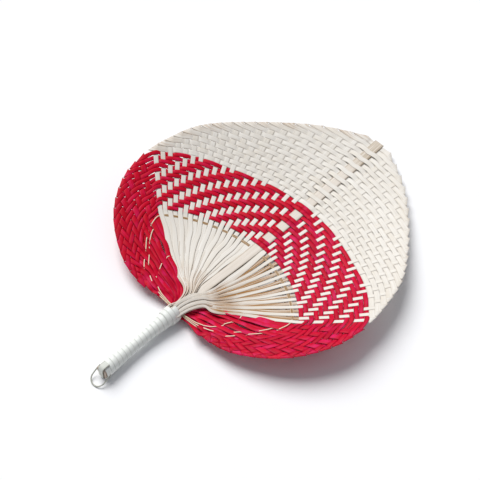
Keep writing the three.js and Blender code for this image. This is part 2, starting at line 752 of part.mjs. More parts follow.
// The strip end turned over the butt, a U about the end of the core
function buttFold() {
  const inner = CORE_BUTT_RADIUS + BINDING_GAP;
  const top = -(HANDLE_LENGTH - FOLD_REACH);
  const innerEnd = -(HANDLE_LENGTH + BINDING_GAP);
  const outerEnd = innerEnd - BINDING_THICKNESS;
  const outline = new THREE.Shape();
  outline.moveTo(top, FOLD_OUTER);
  outline.lineTo(outerEnd + BINDING_THICKNESS, FOLD_OUTER);
  outline.lineTo(outerEnd, inner);
  outline.lineTo(outerEnd, -inner);
  outline.lineTo(outerEnd + BINDING_THICKNESS, -FOLD_OUTER);
  outline.lineTo(top, -FOLD_OUTER);
  outline.lineTo(top, -inner);
  outline.lineTo(innerEnd, -inner);
  outline.lineTo(innerEnd, inner);
  outline.lineTo(top, inner);
  outline.closePath();
  const geometry = new THREE.ExtrudeGeometry(outline, { depth: FOLD_WIDTH, bevelEnabled: false });
  geometry.translate(0, 0, -FOLD_WIDTH / 2);
  const turn = new THREE.Matrix4().makeBasis(
    new THREE.Vector3(0, 1, 0), new THREE.Vector3(0, 0, 1), new THREE.Vector3(1, 0, 0),
  );
  return geometry.applyMatrix4(turn);
}

// Hanging loop: a bent wire whose inturned ends turn in the bore of the core
function hangingLoop() {
  const reach = LOOP_LENGTH - LOOP_WIRE_RADIUS;
  const round = LOOP_HALF_WIDTH;
  const route = new THREE.CurvePath();
  const at = (x, y) => new THREE.Vector3(x, y, 0);
  const join = (from, control, to) => {
    route.add(new THREE.QuadraticBezierCurve3(from, control, to));
  };
  const leg = (side) => {
    const pin = at(side * LOOP_PIN_END, 0);
    const bend = at(side * (LOOP_HALF_WIDTH - LOOP_CORNER), 0);
    const down = at(side * LOOP_HALF_WIDTH, -LOOP_CORNER);
    const shoulder = at(side * LOOP_HALF_WIDTH, -(reach - round));
    return { pin, bend, down, shoulder };
  };
  const left = leg(-1);
  const right = leg(1);
  const bottom = at(0, -reach);
  route.add(new THREE.LineCurve3(left.pin, left.bend));
  join(left.bend, at(-LOOP_HALF_WIDTH, 0), left.down);
  route.add(new THREE.LineCurve3(left.down, left.shoulder));
  join(left.shoulder, at(-LOOP_HALF_WIDTH, -reach), bottom);
  join(bottom, at(LOOP_HALF_WIDTH, -reach), right.shoulder);
  route.add(new THREE.LineCurve3(right.shoulder, right.down));
  join(right.down, at(LOOP_HALF_WIDTH, 0), right.bend);
  route.add(new THREE.LineCurve3(right.bend, right.pin));
  const wire = new THREE.Shape();
  wire.absarc(0, 0, LOOP_WIRE_RADIUS, 0, 2 * Math.PI);
  const geometry = new THREE.ExtrudeGeometry(wire, {
    extrudePath: route, steps: LOOP_STEPS, curveSegments: LOOP_ARC_STEPS, bevelEnabled: false,
  });
  const drop = COLLAR_OUTER - LOOP_WIRE_RADIUS - FLOOR_GAP;
  geometry.rotateX(Math.asin(drop / reach));
  return geometry.translate(0, PIVOT_Y, 0);
}

// Assembly
const fan = new THREE.Group();
fan.name = 'woven_hand_fan';

function addPiece(name, finish, geometry, height = 0) {
  const material = new THREE.MeshStandardMaterial({ ...FINISHES[finish], metalness: 0 });
  const mesh = new THREE.Mesh(geometry, material);
  mesh.name = name;
  mesh.position.z = height;
  fan.add(mesh);
}

for (const strip of strips) {
  const kind = strip.natural ? 'natural' : 'red';
  const order = strip.natural ? strip.number - RED_COUNT : strip.number;
  addPiece(`${kind}_strip_${String(order).padStart(2, '0')}`, kind, wovenStrip(strip));
}
addPiece('centre_rib', 'rib', centreRib());
addPiece('outer_hoop', 'splint', hoop(OUTER_HOOP_INSET, 0, HOOP_EXIT_SHARES[0]));
addPiece('middle_hoop', 'splint', hoop(MIDDLE_HOOP_INSET, 1, HOOP_EXIT_SHARES[1]));
addPiece('inner_hoop', 'splint', hoop(INNER_HOOP_INSET, 2, HOOP_EXIT_SHARES[2]));

const naturalEnd = {
  shift: -NATURAL_BUNDLE_SHIFT, width: NATURAL_BUNDLE_WIDTH, height: NATURAL_BUNDLE_HEIGHT,
};
const redEnd = {
  shift: RED_BUNDLE_SHIFT, width: RED_BUNDLE_WIDTH, height: RED_BUNDLE_HEIGHT, lift: RED_BUNDLE_LIFT,
};
const lowerEnd = { ...naturalEnd, lift: LOWER_BUNDLE_LIFT };
const upperEnd = { ...naturalEnd, lift: UPPER_BUNDLE_LIFT };
addPiece('left_natural_bundle', 'natural', bundle(NATURAL_GATHER, -1, lowerEnd));
addPiece('right_natural_bundle', 'natural', bundle(NATURAL_GATHER, 1, upperEnd));
addPiece('left_red_bundle', 'red', bundle(RED_GATHER, -1, redEnd));
addPiece('right_red_bundle', 'red', bundle(RED_GATHER, 1, redEnd));

addPiece('handle_core', 'core', handleCore(), AXIS_HEIGHT);
addPiece('handle_binding', 'binding', winding('handle_binding', BINDING_TURNS, 0), AXIS_HEIGHT);
const collarLift = BINDING_THICKNESS + BINDING_GAP;
addPiece('neck_collar', 'binding', winding('neck_collar', COLLAR_TURNS, collarLift), AXIS_HEIGHT);
addPiece('butt_fold', 'binding', buttFold(), AXIS_HEIGHT);
addPiece('hanging_loop', 'loop', hangingLoop(), AXIS_HEIGHT);

// The origin is the middle of the footprint, level with the lowest point
const box = new THREE.Box3().setFromObject(fan, true);
fan.position.set(0, -(box.min.y + box.max.y) / 2, -box.min.z);

export default fan;
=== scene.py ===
"""Woven bamboo hand fan: a dished blade of red and natural strips on a centre rib, with a bound handle.

Sizes are millimetres in the fan's own plan: the neck is the origin and the tip lies along +Y.
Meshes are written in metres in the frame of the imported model.
"""
import logging
import math
from collections.abc import Sequence
from dataclasses import dataclass, field
from enum import Enum
from functools import cached_property

import bpy
import numpy as np
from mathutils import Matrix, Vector


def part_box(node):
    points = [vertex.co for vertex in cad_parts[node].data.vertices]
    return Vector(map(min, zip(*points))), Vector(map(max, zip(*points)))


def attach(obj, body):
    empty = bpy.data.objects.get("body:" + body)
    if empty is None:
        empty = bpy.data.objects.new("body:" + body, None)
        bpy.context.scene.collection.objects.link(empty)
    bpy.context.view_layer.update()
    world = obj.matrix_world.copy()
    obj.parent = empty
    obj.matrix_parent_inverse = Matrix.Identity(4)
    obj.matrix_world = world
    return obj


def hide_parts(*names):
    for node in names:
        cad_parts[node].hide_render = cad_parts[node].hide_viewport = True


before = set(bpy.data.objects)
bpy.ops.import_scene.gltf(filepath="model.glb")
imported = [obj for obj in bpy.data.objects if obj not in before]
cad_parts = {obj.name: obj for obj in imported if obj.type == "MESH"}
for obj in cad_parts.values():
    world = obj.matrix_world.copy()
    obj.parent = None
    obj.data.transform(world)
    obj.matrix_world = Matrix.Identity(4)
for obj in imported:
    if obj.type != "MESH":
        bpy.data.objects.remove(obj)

LOG = logging.getLogger("fan")
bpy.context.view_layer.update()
MM = 0.001
RIB_START = 0.4
RIB_HALF_THICKNESS = 0.4
STEP_ROOM = 0.1
TINY = 1e-6


def plan_shift() -> np.ndarray:
    """Where the plan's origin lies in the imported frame, read from the rib's box.

    Returns:
        The shift in millimetres.
    """
    low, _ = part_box("centre_rib")
    return np.array([0.0, low[1] / MM - RIB_START, low[2] / MM + RIB_HALF_THICKNESS])


SHIFT = plan_shift()


class Side(Enum):
    """The two halves of the fan, by the sign of X."""

    LEFT = -1
    RIGHT = 1


class Kind(Enum):
    """The two kinds of strip."""

    RED = "red"
    NATURAL = "natural"


def linear(colour: str) -> tuple[float, float, float, float]:
    """Turn an sRGB hex colour into linear RGBA.

    Args:
        colour: six hex digits.

    Returns:
        Linear red, green and blue with an alpha of one.
    """
    parts = [int(colour[i:i + 2], 16) / 255 for i in (0, 2, 4)]
    parts = [c / 12.92 if c <= 0.04045 else ((c + 0.055) / 1.055) ** 2.4 for c in parts]
    return (parts[0], parts[1], parts[2], 1.0)


def add_node(tree: bpy.types.NodeTree, kind: str, inputs: dict[str | int, object] | None = None,
             **settings: str | bool) -> bpy.types.Node:
    """Add a node with its settings, and fill or link its inputs.

    Args:
        tree: the material's node tree.
        kind: the node's type name.
        inputs: input name or number to a value or to an output socket.
        **settings: the node's own properties.

    Returns:
        The new node.
    """
    node = tree.nodes.new(kind)
    for name, value in settings.items():
        setattr(node, name, value)
    for key, value in (inputs or {}).items():
        if isinstance(value, bpy.types.NodeSocket):
            tree.links.new(value, node.inputs[key])
        else:
            node.inputs[key].default_value = value
    return node


def mapped(tree: bpy.types.NodeTree, value: bpy.types.NodeSocket, low: float, high: float,
           to_low: float = 0.0, to_high: float = 1.0) -> bpy.types.NodeSocket:
    """Spread a value from one range to another, held at the ends.

    Args:
        tree: the material's node tree.
        value: the value.
        low: where the first range starts.
        high: where it ends.
        to_low: where the second range starts.
        to_high: where it ends.

    Returns:
        The result.
    """
    inputs = {"Value": value, "From Min": low, "From Max": high, "To Min": to_low, "To Max": to_high}
    return add_node(tree, "ShaderNodeMapRange", inputs).outputs[0]


def reckoned(tree: bpy.types.NodeTree, operation: str, *terms: bpy.types.NodeSocket | float,
             clamp: bool = False) -> bpy.types.NodeSocket:
    """Work out a value from up to three terms.

    Args:
        tree: the material's node tree.
        operation: the name of the operation.
        *terms: values or sockets.
        clamp: True to hold the result between 0 and 1.

    Returns:
        The result.
    """
    node = add_node(tree, "ShaderNodeMath", dict(enumerate(terms)), operation=operation, use_clamp=clamp)
    return node.outputs[0]


def mixed(tree: bpy.types.NodeTree, share: bpy.types.NodeSocket, one: object,
          two: object) -> bpy.types.NodeSocket:
    """Mix two colours.

    Args:
        tree: the material's node tree.
        share: how much of the second.
        one: the first colour, or its socket.
        two: the second colour.

    Returns:
        The result.
    """
    inputs = {"Factor": share, "A": one, "B": two}
    return add_node(tree, "ShaderNodeMix", inputs, data_type="RGBA").outputs["Result"]


def noise(tree: bpy.types.NodeTree, place: bpy.types.NodeSocket, scale: float, detail: float,
          roughness: float = 0.5) -> bpy.types.NodeSocket:
    """Soft noise over places.

    Args:
        tree: the material's node tree.
        place: the places.
        scale: how fine it is.
        detail: how many finer layers it has.
        roughness: how strong they are.

    Returns:
        The noise from 0 to 1.
    """
    inputs = {"Vector": place, "Scale": scale, "Detail": detail, "Roughness": roughness}
    return add_node(tree, "ShaderNodeTexNoise", inputs).outputs["Fac"]


def new_material(name: str) -> tuple[bpy.types.Material, bpy.types.NodeTree, bpy.types.Node]:
    """Make an empty material with a Principled shader on its output.

    Args:
        name: the material's name.

    Returns:
        The material, its node tree and the shader.
    """
    material = bpy.data.materials.new(name)
    material.use_nodes = True
    tree = material.node_tree
    tree.nodes.clear()
    shader = add_node(tree, "ShaderNodeBsdfPrincipled")
    add_node(tree, "ShaderNodeOutputMaterial", {"Surface": shader.outputs["BSDF"]})
    return material, tree, shader


@dataclass(frozen=True)
class StripFinish:
    """A flat strip, split or slit: fine lines run along it, and its edges are darker, partly their own colour
    and partly painted shade.
    """

    name: str
    pale: str
    deep: str
    edge: str
    mottle_and_highlight: str
    age_and_shade_tint: str = "b98d55"
    roughness: float = 0.5
    specular: float = 0.5
    fibre_width: float = 0.75
    fibre_length: float = 45.0
    patch_length: float = 22.0
    edge_tint_and_shade_share: float = 0.55
    tone_share: float = 0.4
    patch_share: float = 0.3
    strip_width: float = 5.0

    def material(self) -> bpy.types.Material:
        """Fibre streaks, soft patches, darkening for ageing and for painted shade, and dark edges, read from
        the strip's own length and breadth.

        Returns:
            The finished material.
        """
        material, tree, shader = new_material(self.name)
        place = add_node(tree, "ShaderNodeAttribute", attribute_name="strip").outputs["Vector"]
        _, across, tone = add_node(tree, "ShaderNodeSeparateXYZ", {0: place}).outputs
        # Fibres are drawn about twice as wide as real ones, so that they show at this size
        fine = (1 / self.fibre_length, self.strip_width / 2 / self.fibre_width, 60.0)
        fibre_at = add_node(tree, "ShaderNodeVectorMath", {0: place, 1: fine}, operation="MULTIPLY")
        fibre = noise(tree, fibre_at.outputs[0], 1.0, 3.0, 0.6)
        broad = (1 / self.patch_length, 0.35, 37.0)
        patch_at = add_node(tree, "ShaderNodeVectorMath", {0: place, 1: broad}, operation="MULTIPLY")
        mottle_and_highlight = noise(tree, patch_at.outputs[0], 1.0, 2.0)
        streak = mapped(tree, fibre, 0.34, 0.7)
        toned = reckoned(tree, "MULTIPLY_ADD", tone, self.tone_share, streak)
        depth = reckoned(tree, "MULTIPLY", toned, 1 / (1 + self.tone_share))
        body = mixed(tree, depth, linear(self.pale), linear(self.deep))
        blot = mapped(tree, mottle_and_highlight, 0.5, 0.75, to_high=self.patch_share)
        mottled = mixed(tree, blot, body, linear(self.mottle_and_highlight))
        # The darkening follows the fibres, so that a darkened strip shows golden lines and not one flat
        # brown; it stands partly for ageing and partly for painted shade
        age_and_shade_level = add_node(tree, "ShaderNodeAttribute", attribute_name="age").outputs["Fac"]
        age_and_shade_share = reckoned(tree, "MULTIPLY", age_and_shade_level, mapped(tree, streak, 0.12, 0.85, to_low=0.06), clamp=True)
        aged_and_shaded = mixed(tree, age_and_shade_share, mottled, linear(self.age_and_shade_tint))
        # The edges are darkest where a fibre streak meets them: partly the cut edges' own colour, partly
        # painted shade that makes the strips look rounded
        cut = mapped(tree, reckoned(tree, "ABSOLUTE", across), 0.72, 1.0, to_high=self.edge_tint_and_shade_share)
        streaked_edge = reckoned(tree, "MULTIPLY", cut, streak)
        edged = reckoned(tree, "MULTIPLY_ADD", cut, 0.45, streaked_edge, clamp=True)
        colour = mixed(tree, edged, aged_and_shaded, linear(self.edge))
        sheen = mapped(tree, fibre, 0.0, 1.0, self.roughness - 0.1, self.roughness + 0.15)
        relief = {"Height": fibre, "Strength": 0.35, "Distance": 0.15 * MM}
        bump = add_node(tree, "ShaderNodeBump", relief).outputs[0]
        for name, socket in (("Base Color", colour), ("Roughness", sheen), ("Normal", bump)):
            tree.links.new(socket, shader.inputs[name])
        shader.inputs["Specular IOR Level"].default_value = self.specular
        return material


@dataclass(frozen=True)
class PlainFinish:
    """A plain surface: one colour with faint clouds."""

    name: str
    colour: str
    cloud: str
    cloud_size: float
    cloud_detail: float
    roughness: float
    specular: float = 0.5

    def material(self) -> bpy.types.Material:
        """Colour in soft clouds.

        Returns:
            The finished material.
        """
        material, tree, shader = new_material(self.name)
        place = add_node(tree, "ShaderNodeTexCoord").outputs["Object"]
        clouds = noise(tree, place, 1 / (self.cloud_size * MM), self.cloud_detail)
        colour = mixed(tree, clouds, linear(self.colour), linear(self.cloud))
        tree.links.new(colour, shader.inputs["Base Color"])
        shader.inputs["Roughness"].default_value = self.roughness
        shader.inputs["Specular IOR Level"].default_value = self.specular
        return material


# Bamboo split and shaved flat: pale and half matt, with fine fibres; golden lines show with ageing and as
# painted shade on the loose strips that lie behind others, and its darker edges are partly painted shade
NATURAL_BAMBOO = StripFinish("natural_split_bamboo", pale="ece8e0", deep="ddd6ca", edge="8f7c60",
                             mottle_and_highlight="dccfb8", age_and_shade_tint="a3743a", specular=0.3, edge_tint_and_shade_share=0.3)
# The same strips dyed before weaving: deep red, with pinker patches that are partly uneven dyeing and partly
# painted highlights of the gloss; the dark edges are painted shade that rounds each strip
RED_BAMBOO = StripFinish("dyed_split_bamboo", pale="dc0736", deep="a00120", edge="6d0014", mottle_and_highlight="e0246a",
                         age_and_shade_tint="c90519", roughness=0.45, specular=0.1, tone_share=0.7, patch_share=0.8,
                         patch_length=11.0, edge_tint_and_shade_share=0.6)
# A broad splint shaved thicker: greyer than the strips, with its edges darkened as painted shade so that it
# looks rounded
RIB_BAMBOO = StripFinish("shaved_bamboo_rib", pale="e7dfd4", deep="d8ccbd", edge="8f7c62", mottle_and_highlight="d2c4b0",
                         age_and_shade_tint="bfb09a", strip_width=10.0, fibre_width=0.9, specular=0.3, edge_tint_and_shade_share=0.8)
# Bamboo split to thin sticks: straw, with painted shade that turns them golden brown where they show between
# the loose strips
SPLINT_BAMBOO = StripFinish("split_bamboo_stick", pale="f2e6d0", deep="e0c9a4", edge="b4905f", mottle_and_highlight="d9bd92",
                            age_and_shade_tint="8f6a38", strip_width=1.5, fibre_width=0.4)
# Plastic slit to a flat strip: cool white with a satin gloss and faint drawn lines, its edges a little darker
# as painted shade in the seams between turns
BINDING_PLASTIC = StripFinish("slit_plastic_strip", pale="eef0eb", deep="e1e4dd", edge="a6aa9e",
                              mottle_and_highlight="e2e4db", roughness=0.4, specular=0.35, edge_tint_and_shade_share=0.25)
# The same strip creased over the butt: greyer, with darker edges
FOLD_PLASTIC = StripFinish("creased_plastic_strip", pale="dfe1d9", deep="cfd1c6", edge="7d776a",
                           mottle_and_highlight="d2cfc2", roughness=0.45, specular=0.3, edge_tint_and_shade_share=1.0)
# Bamboo cane sawn across: a dull pinkish end
CORE_CANE = StripFinish("sawn_bamboo_cane", pale="d9cabb", deep="c2ad9a", edge="a08a76", mottle_and_highlight="bfa590")
# Nylon drawn to a stiff line: grey, with a soft gloss
LOOP_LINE = PlainFinish("drawn_nylon_line", colour="b9baae", cloud="a6a79b", cloud_size=3.0,
                        cloud_detail=3.0, roughness=0.4)
# Plain paper to stand on: nearly white and fully matt
FLOOR_PAPER = PlainFinish("matt_paper", colour="fcfcfc", cloud="f9f9fa", cloud_size=250.0,
                          cloud_detail=2.0, roughness=0.95, specular=0.1)


class PlanPath:
    """A plan polyline with its running length."""

    def __init__(self, points: np.ndarray) -> None:
        """Keep the points and measure along them.

        Args:
            points: plan points in order.
        """
        self.points = np.asarray(points, float)
        steps = np.linalg.norm(np.diff(self.points, axis=0), axis=1)
        self.lengths = np.concatenate(([0.0], np.cumsum(steps)))

    @property
    def total(self) -> float:
        """The whole length."""
        return float(self.lengths[-1])

    def at(self, lengths: np.ndarray | float) -> np.ndarray:
        """Points at the given lengths.

        Args:
            lengths: one or more lengths from the start.

        Returns:
            Points, with the coordinates on the last axis.
        """
        return np.stack([np.interp(lengths, self.lengths, self.points[:, k]) for k in (0, 1)], -1)

    def along(self, lengths: np.ndarray | float, reach: float = 0.8) -> np.ndarray:
        """Unit directions at the given lengths, taken over a short reach either way.

        Args:
            lengths: one or more lengths from the start.
            reach: how far either way the direction is taken.

        Returns:
            Unit vectors.
        """
        lengths = np.asarray(lengths, float)
        step = self.at(np.minimum(lengths + reach, self.total)) - self.at(np.maximum(lengths - reach, 0))
        return step / np.linalg.norm(step, axis=-1, keepdims=True)

    def room(self, points: np.ndarray) -> np.ndarray:
        """Least distance from each point to the path.

        Args:
            points: points of the plan.

        Returns:
            One distance for each point.
        """
        start = self.points[:-1]
        step = self.points[1:] - start
        rel = points[:, None] - start[None]
        share = np.clip((rel * step).sum(-1) / (step * step).sum(-1), 0, 1)
        return np.linalg.norm(rel - share[..., None] * step, axis=-1).min(1)

    def meets(self, other: "PlanPath") -> tuple[float, float] | None:
        """Where this path first crosses another.

        Args:
            other: the path that may be crossed.

        Returns:
            The lengths on this path and on the other, or None.
        """
        a, c = self.points[:-1], other.points[:-1]
        u, v = self.points[1:] - a, other.points[1:] - c
        w = c[None] - a[:, None]
        cross = u[:, None, 0] * v[None, :, 1] - u[:, None, 1] * v[None, :, 0]
        cross = np.where(np.abs(cross) < 1e-12, 1e-12, cross)
        t = (w[..., 0] * v[None, :, 1] - w[..., 1] * v[None, :, 0]) / cross
        s = (w[..., 0] * u[:, None, 1] - w[..., 1] * u[:, None, 0]) / cross
        hits = np.argwhere((t >= 0) & (t < 1) & (s >= 0) & (s < 1))
        if not len(hits):
            return None
        i, k = hits[0]
        on_self = self.lengths[i] + t[i, k] * np.linalg.norm(u[i])
        return float(on_self), float(other.lengths[k] + s[i, k] * np.linalg.norm(v[k]))


def spline(points: Sequence[Sequence[float]], steps: int, even: bool) -> np.ndarray:
    """A smooth run through plan points.

    Args:
        points: the points to pass through.
        steps: how many steps the run has in all.
        even: True for an even Catmull-Rom run, False for one that suits uneven spacing.

    Returns:
        The points of the run.
    """
    given = np.asarray(points, float)
    ends = (given[0], given[-1]) if even else (2 * given[0] - given[1], 2 * given[-1] - given[-2])
    padded = np.vstack([ends[0], given, ends[1]])
    spans = len(given) - 1
    run = []
    for i in range(steps + 1):
        k = min(int(i / steps * spans), spans - 1)
        t = i / steps * spans - k
        p0, p1, p2, p3 = padded[k:k + 4]
        if even:
            m1, m2 = (p2 - p0) / 2, (p3 - p1) / 2
        else:
            d0, d1, d2 = (math.sqrt(np.linalg.norm(q - p)) for p, q in ((p0, p1), (p1, p2), (p2, p3)))
            m1 = d1 * ((p1 - p0) / d0 - (p2 - p0) / (d0 + d1) + (p2 - p1) / d1)
            m2 = d1 * ((p2 - p1) / d1 - (p3 - p1) / (d1 + d2) + (p3 - p2) / d2)
        run.append((2 * t**3 - 3 * t**2 + 1) * p1 + (t**3 - 2 * t**2 + t) * m1
                   + (3 * t**2 - 2 * t**3) * p2 + (t**3 - t**2) * m2)
    return np.array(run)


def polar(radius: float, angle: float) -> np.ndarray:
    """A plan point from its distance to the neck and its angle from the centre line."""
    return np.array([radius * math.sin(angle), radius * math.cos(angle)])


def left_of(along: np.ndarray) -> np.ndarray:
    """Directions turned left by a quarter."""
    return np.stack([-along[..., 1], along[..., 0]], -1)


def ease(share: np.ndarray | float) -> np.ndarray | float:
    """A smooth step from 0 to 1."""
    share = np.clip(share, 0, 1)
    return share * share * (3 - 2 * share)


@dataclass
class Crossing:
    """One row passing one leg, on the right half."""

    row: int
    leg: int
    on_row: float
    on_leg: float
    row_over: bool


@dataclass
class FanPlan:
    """Plan of the blade: rim, rows, legs and dish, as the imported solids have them."""

    length: float = 271.0
    half_width: float = 133.0
    low_point: float = 116.0
    side_rise: float = 26.0
    tip_rise: float = 4.0
    axis_height: float = 7.47
    red_count: int = 14
    natural_count: int = 19
    band_inner: float = 109.5
    red_pitch: float = 4.32
    natural_pitch: float = 5.15
    rim_inset: float = 2.266
    lobe_focus: float = 66.0
    colour_gap: float = 1.67
    lobe_end: float = 0.3
    first_angle: float = 4.0
    angle_step: float = 2.9
    angle_closing: float = 0.018
    outline: tuple[tuple[float, float], ...] = (
        (0, 1), (0.13, 0.989), (0.423, 0.897), (0.709, 0.747), (0.915, 0.596), (0.989, 0.458),
        (1, 0.347), (0.96, 0.249), (0.845, 0.151), (0.69, 0.081), (0.48, 0.027), (0.27, 0.012))
    # Centre, radius, first angle and angle step, in degrees, of the curve on which the solid legs end
    red_gather: tuple[float, ...] = (4.0, 15.0, 26.0, 55.0, 1.92)
    natural_gather: tuple[float, ...] = (4.0, 26.0, 21.0, 8.0, 3.4)

    @property
    def count(self) -> int:
        """Strips in all."""
        return self.red_count + self.natural_count

    def kind(self, strip: int) -> Kind:
        """Kind of a strip; strips count from 1, the innermost, to the one at the tip."""
        return Kind.RED if strip <= self.red_count else Kind.NATURAL

    def dish(self, points: np.ndarray) -> np.ndarray:
        """Height of the blade's middle surface.

        Args:
            points: plan points, coordinates on the last axis.

        Returns:
            One height for each point.
        """
        x, y = points[..., 0], points[..., 1]
        far = self.tip_rise * ((y - self.low_point) / (self.length - self.low_point)) ** 2
        share = np.clip((self.low_point - y) / self.low_point, 0, 1)
        near = self.axis_height * (1 - np.cos(np.pi * share)) / 2
        return self.side_rise * (x / self.half_width) ** 2 + np.where(y > self.low_point, far, near)

    @cached_property
    def rim(self) -> PlanPath:
        """The right half's rim, from the tip to the lower corner near the neck."""
        shares = np.array(self.outline, float) * [self.half_width, self.length]
        return PlanPath(spline(shares, 300, even=True))

    def rim_length(self, angle: float) -> float:
        """Length along the rim at an angle of the sector.

        Args:
            angle: angle from the centre line.

        Returns:
            The length.
        """
        angles = np.arctan2(self.rim.points[:, 0], self.rim.points[:, 1])
        i = int(np.argmax(angles >= angle)) if angle > 0 else 1
        share = (angle - angles[i - 1]) / (angles[i] - angles[i - 1])
        return float(self.rim.lengths[i - 1] + share * (self.rim.lengths[i] - self.rim.lengths[i - 1]))

    def rim_radius(self, angle: float) -> float:
        """Distance from the neck to the rim at an angle of the sector."""
        return float(np.linalg.norm(self.rim.at(self.rim_length(angle))))

    def leg_angle(self, strip: int) -> float:
        """Angle of a natural leg from the centre line."""
        steps = self.count - strip
        return math.radians(self.first_angle + (self.angle_step - self.angle_closing * steps) * steps)

    @cached_property
    def sector(self) -> float:
        """Angle of the outermost natural leg."""
        return self.leg_angle(self.red_count + 1)

    def strip_at(self, angle: float) -> float:
        """Number, with a fraction, of the strip whose fold would stand at an angle.

        Args:
            angle: angle from the centre line.

        Returns:
            The number.
        """
        first = self.leg_angle(self.count)
        if angle <= first:
            return self.count + (1 - angle / first) / 2
        strip = self.count - 1
        while strip > self.red_count + 1 and self.leg_angle(strip) < angle:
            strip -= 1
        start = self.leg_angle(strip + 1)
        return strip + 1 - (angle - start) / (self.leg_angle(strip) - start)

    def rows_depth(self, rows: float) -> float:
        """Depth of a count of rows, the red ones first.

        Args:
            rows: how many rows, or a share of one more.

        Returns:
            The depth before the rows close up.
        """
        if rows <= self.red_count:
            return rows * self.red_pitch
        return self.red_count * self.red_pitch + (rows - self.red_count) * self.natural_pitch

    def sector_scale(self, angle: float) -> float:
        """How much the rows close up at an angle of the sector."""
        depth = self.rim_radius(angle) - self.rim_inset - self.band_inner
        return depth / self.rows_depth(self.strip_at(angle) - 0.5)

    def sector_point(self, strip: int, angle: float) -> np.ndarray:
        """Middle of a row at an angle of the sector."""
        inward = self.rows_depth(self.strip_at(angle) - 0.5) - self.rows_depth(strip - 0.5)
        return polar(self.rim_radius(angle) - self.rim_inset - self.sector_scale(angle) * inward, angle)

    def lobe_point(self, strip: int, folded: int) -> np.ndarray:
        """Middle of a row in a lobe, level with another strip's fold.

        Args:
            strip: the row's strip.
            folded: the strip whose fold it is level with.

        Returns:
            The plan point.
        """
        start = self.rim_length(self.sector)
        pitch = (self.rim.total - start) / (self.red_count - 1 + self.colour_gap + self.lobe_end)
        edge = self.rim.at(start + pitch * (self.colour_gap + self.red_count - folded))
        inward = self.rows_depth(folded - 0.5) - self.rows_depth(strip - 0.5)
        share = folded / (self.red_count + 1)
        depth = self.rim_inset + (1 + (self.sector_scale(self.sector) - 1) * share) * inward
        inner = polar(self.lobe_focus, self.sector) - edge
        return edge + inner / np.linalg.norm(inner) * depth

    @cached_property
    def rows(self) -> dict[int, PlanPath]:
        """Right half of each row, from the centre line to its fold.

        Returns:
            The rows by strip number.
        """
        rows = {}
        for strip in range(1, self.count + 1):
            end = self.leg_angle(strip) if strip > self.red_count else self.sector
            points = [self.sector_point(strip, end * i / 12) for i in range(13)]
            points += [self.lobe_point(strip, folded) for folded in range(self.red_count, strip - 1, -1)]
            rows[strip] = PlanPath(spline(points, 120, even=False))
        return rows

    def gather_point(self, strip: int) -> np.ndarray:
        """Where the solid leg of a strip ends, on the right half.

        Args:
            strip: the strip's number.

        Returns:
            The plan point.
        """
        red = self.kind(strip) is Kind.RED
        x, y, radius, first, step = self.red_gather if red else self.natural_gather
        place = (self.red_count if red else self.count) - strip
        return polar(radius, math.radians(first + step * place)) + [x, y]

    @cached_property
    def legs(self) -> dict[int, PlanPath]:
        """Straight part of each leg of the right half, from its fold in past the innermost row.

        Returns:
            The legs by strip number.
        """
        legs = {}
        for strip, row in self.rows.items():
            fold = row.points[-1]
            if self.kind(strip) is Kind.NATURAL:
                legs[strip] = PlanPath(np.linspace(fold, polar(self.band_inner, self.leg_angle(strip)), 40))
                continue
            straight = PlanPath(np.linspace(fold, self.gather_point(strip), 60))
            hit = self.rows[1].meets(straight) if strip > 1 else None
            end = (hit[1] if hit else 0.0) + self.red_pitch
            legs[strip] = PlanPath(straight.at(np.linspace(0, end, 40)))
        return legs

    def row_over(self, row: int, place: int) -> bool:
        """Weave rule of a row.

        Args:
            row: the row's strip.
            place: -1 for the rib, or the leg counted from the centre line.

        Returns:
            True where the row passes over.
        """
        if row <= self.red_count:
            return (row + place) % 4 < 2
        if row == self.count and place < 0:
            return False
        return (row - self.red_count + place) % 2 == 0

    @cached_property
    def crossings(self) -> list[Crossing]:
        """Every row passing every leg, on the right half.

        Returns:
            The crossings, row by row.
        """
        found = []
        for row, path in self.rows.items():
            for leg in range(row + 1, self.count + 1):
                hit = path.meets(self.legs[leg])
                if hit:
                    found.append(Crossing(row, leg, *hit, self.row_over(row, self.count - leg)))
        return found


# Section of a flat strip, from its left edge over the top and back below: shares of half width and thickness
PROFILE = np.array([(-1, 0), (-0.985, 0.36), (-0.93, 0.5), (-0.4, 0.5), (0.4, 0.5), (0.93, 0.5),
                    (0.985, 0.36), (1, 0), (0.985, -0.36), (0.93, -0.5), (0.4, -0.5), (-0.4, -0.5),
                    (-0.93, -0.5), (-0.985, -0.36)])


def strip_marks(along: np.ndarray, across: np.ndarray, tone: float) -> np.ndarray:
    """The strip attribute of a run of rings.

    Args:
        along: each ring's length along the strip.
        across: each point's share across it, from -1 to 1.
        tone: the strip's own tone.

    Returns:
        Values shaped rings, points, 3.
    """
    shape = (len(along), len(across))
    return np.stack([np.broadcast_to(along[:, None], shape), np.broadcast_to(across[None], shape),
                     np.full(shape, tone)], -1)


def raised(flat: np.ndarray, height: np.ndarray) -> np.ndarray:
    """Plan points given their heights."""
    return np.concatenate([flat, height[..., None]], -1)


def put(name: str, data: bpy.types.ID) -> bpy.types.Object:
    """Put a mesh, lamp or camera in the scene as an object.

    Args:
        name: the object's name.
        data: what it shows.

    Returns:
        The new object.
    """
    placed = bpy.data.objects.new(name, data)
    bpy.context.scene.collection.objects.link(placed)
    return placed


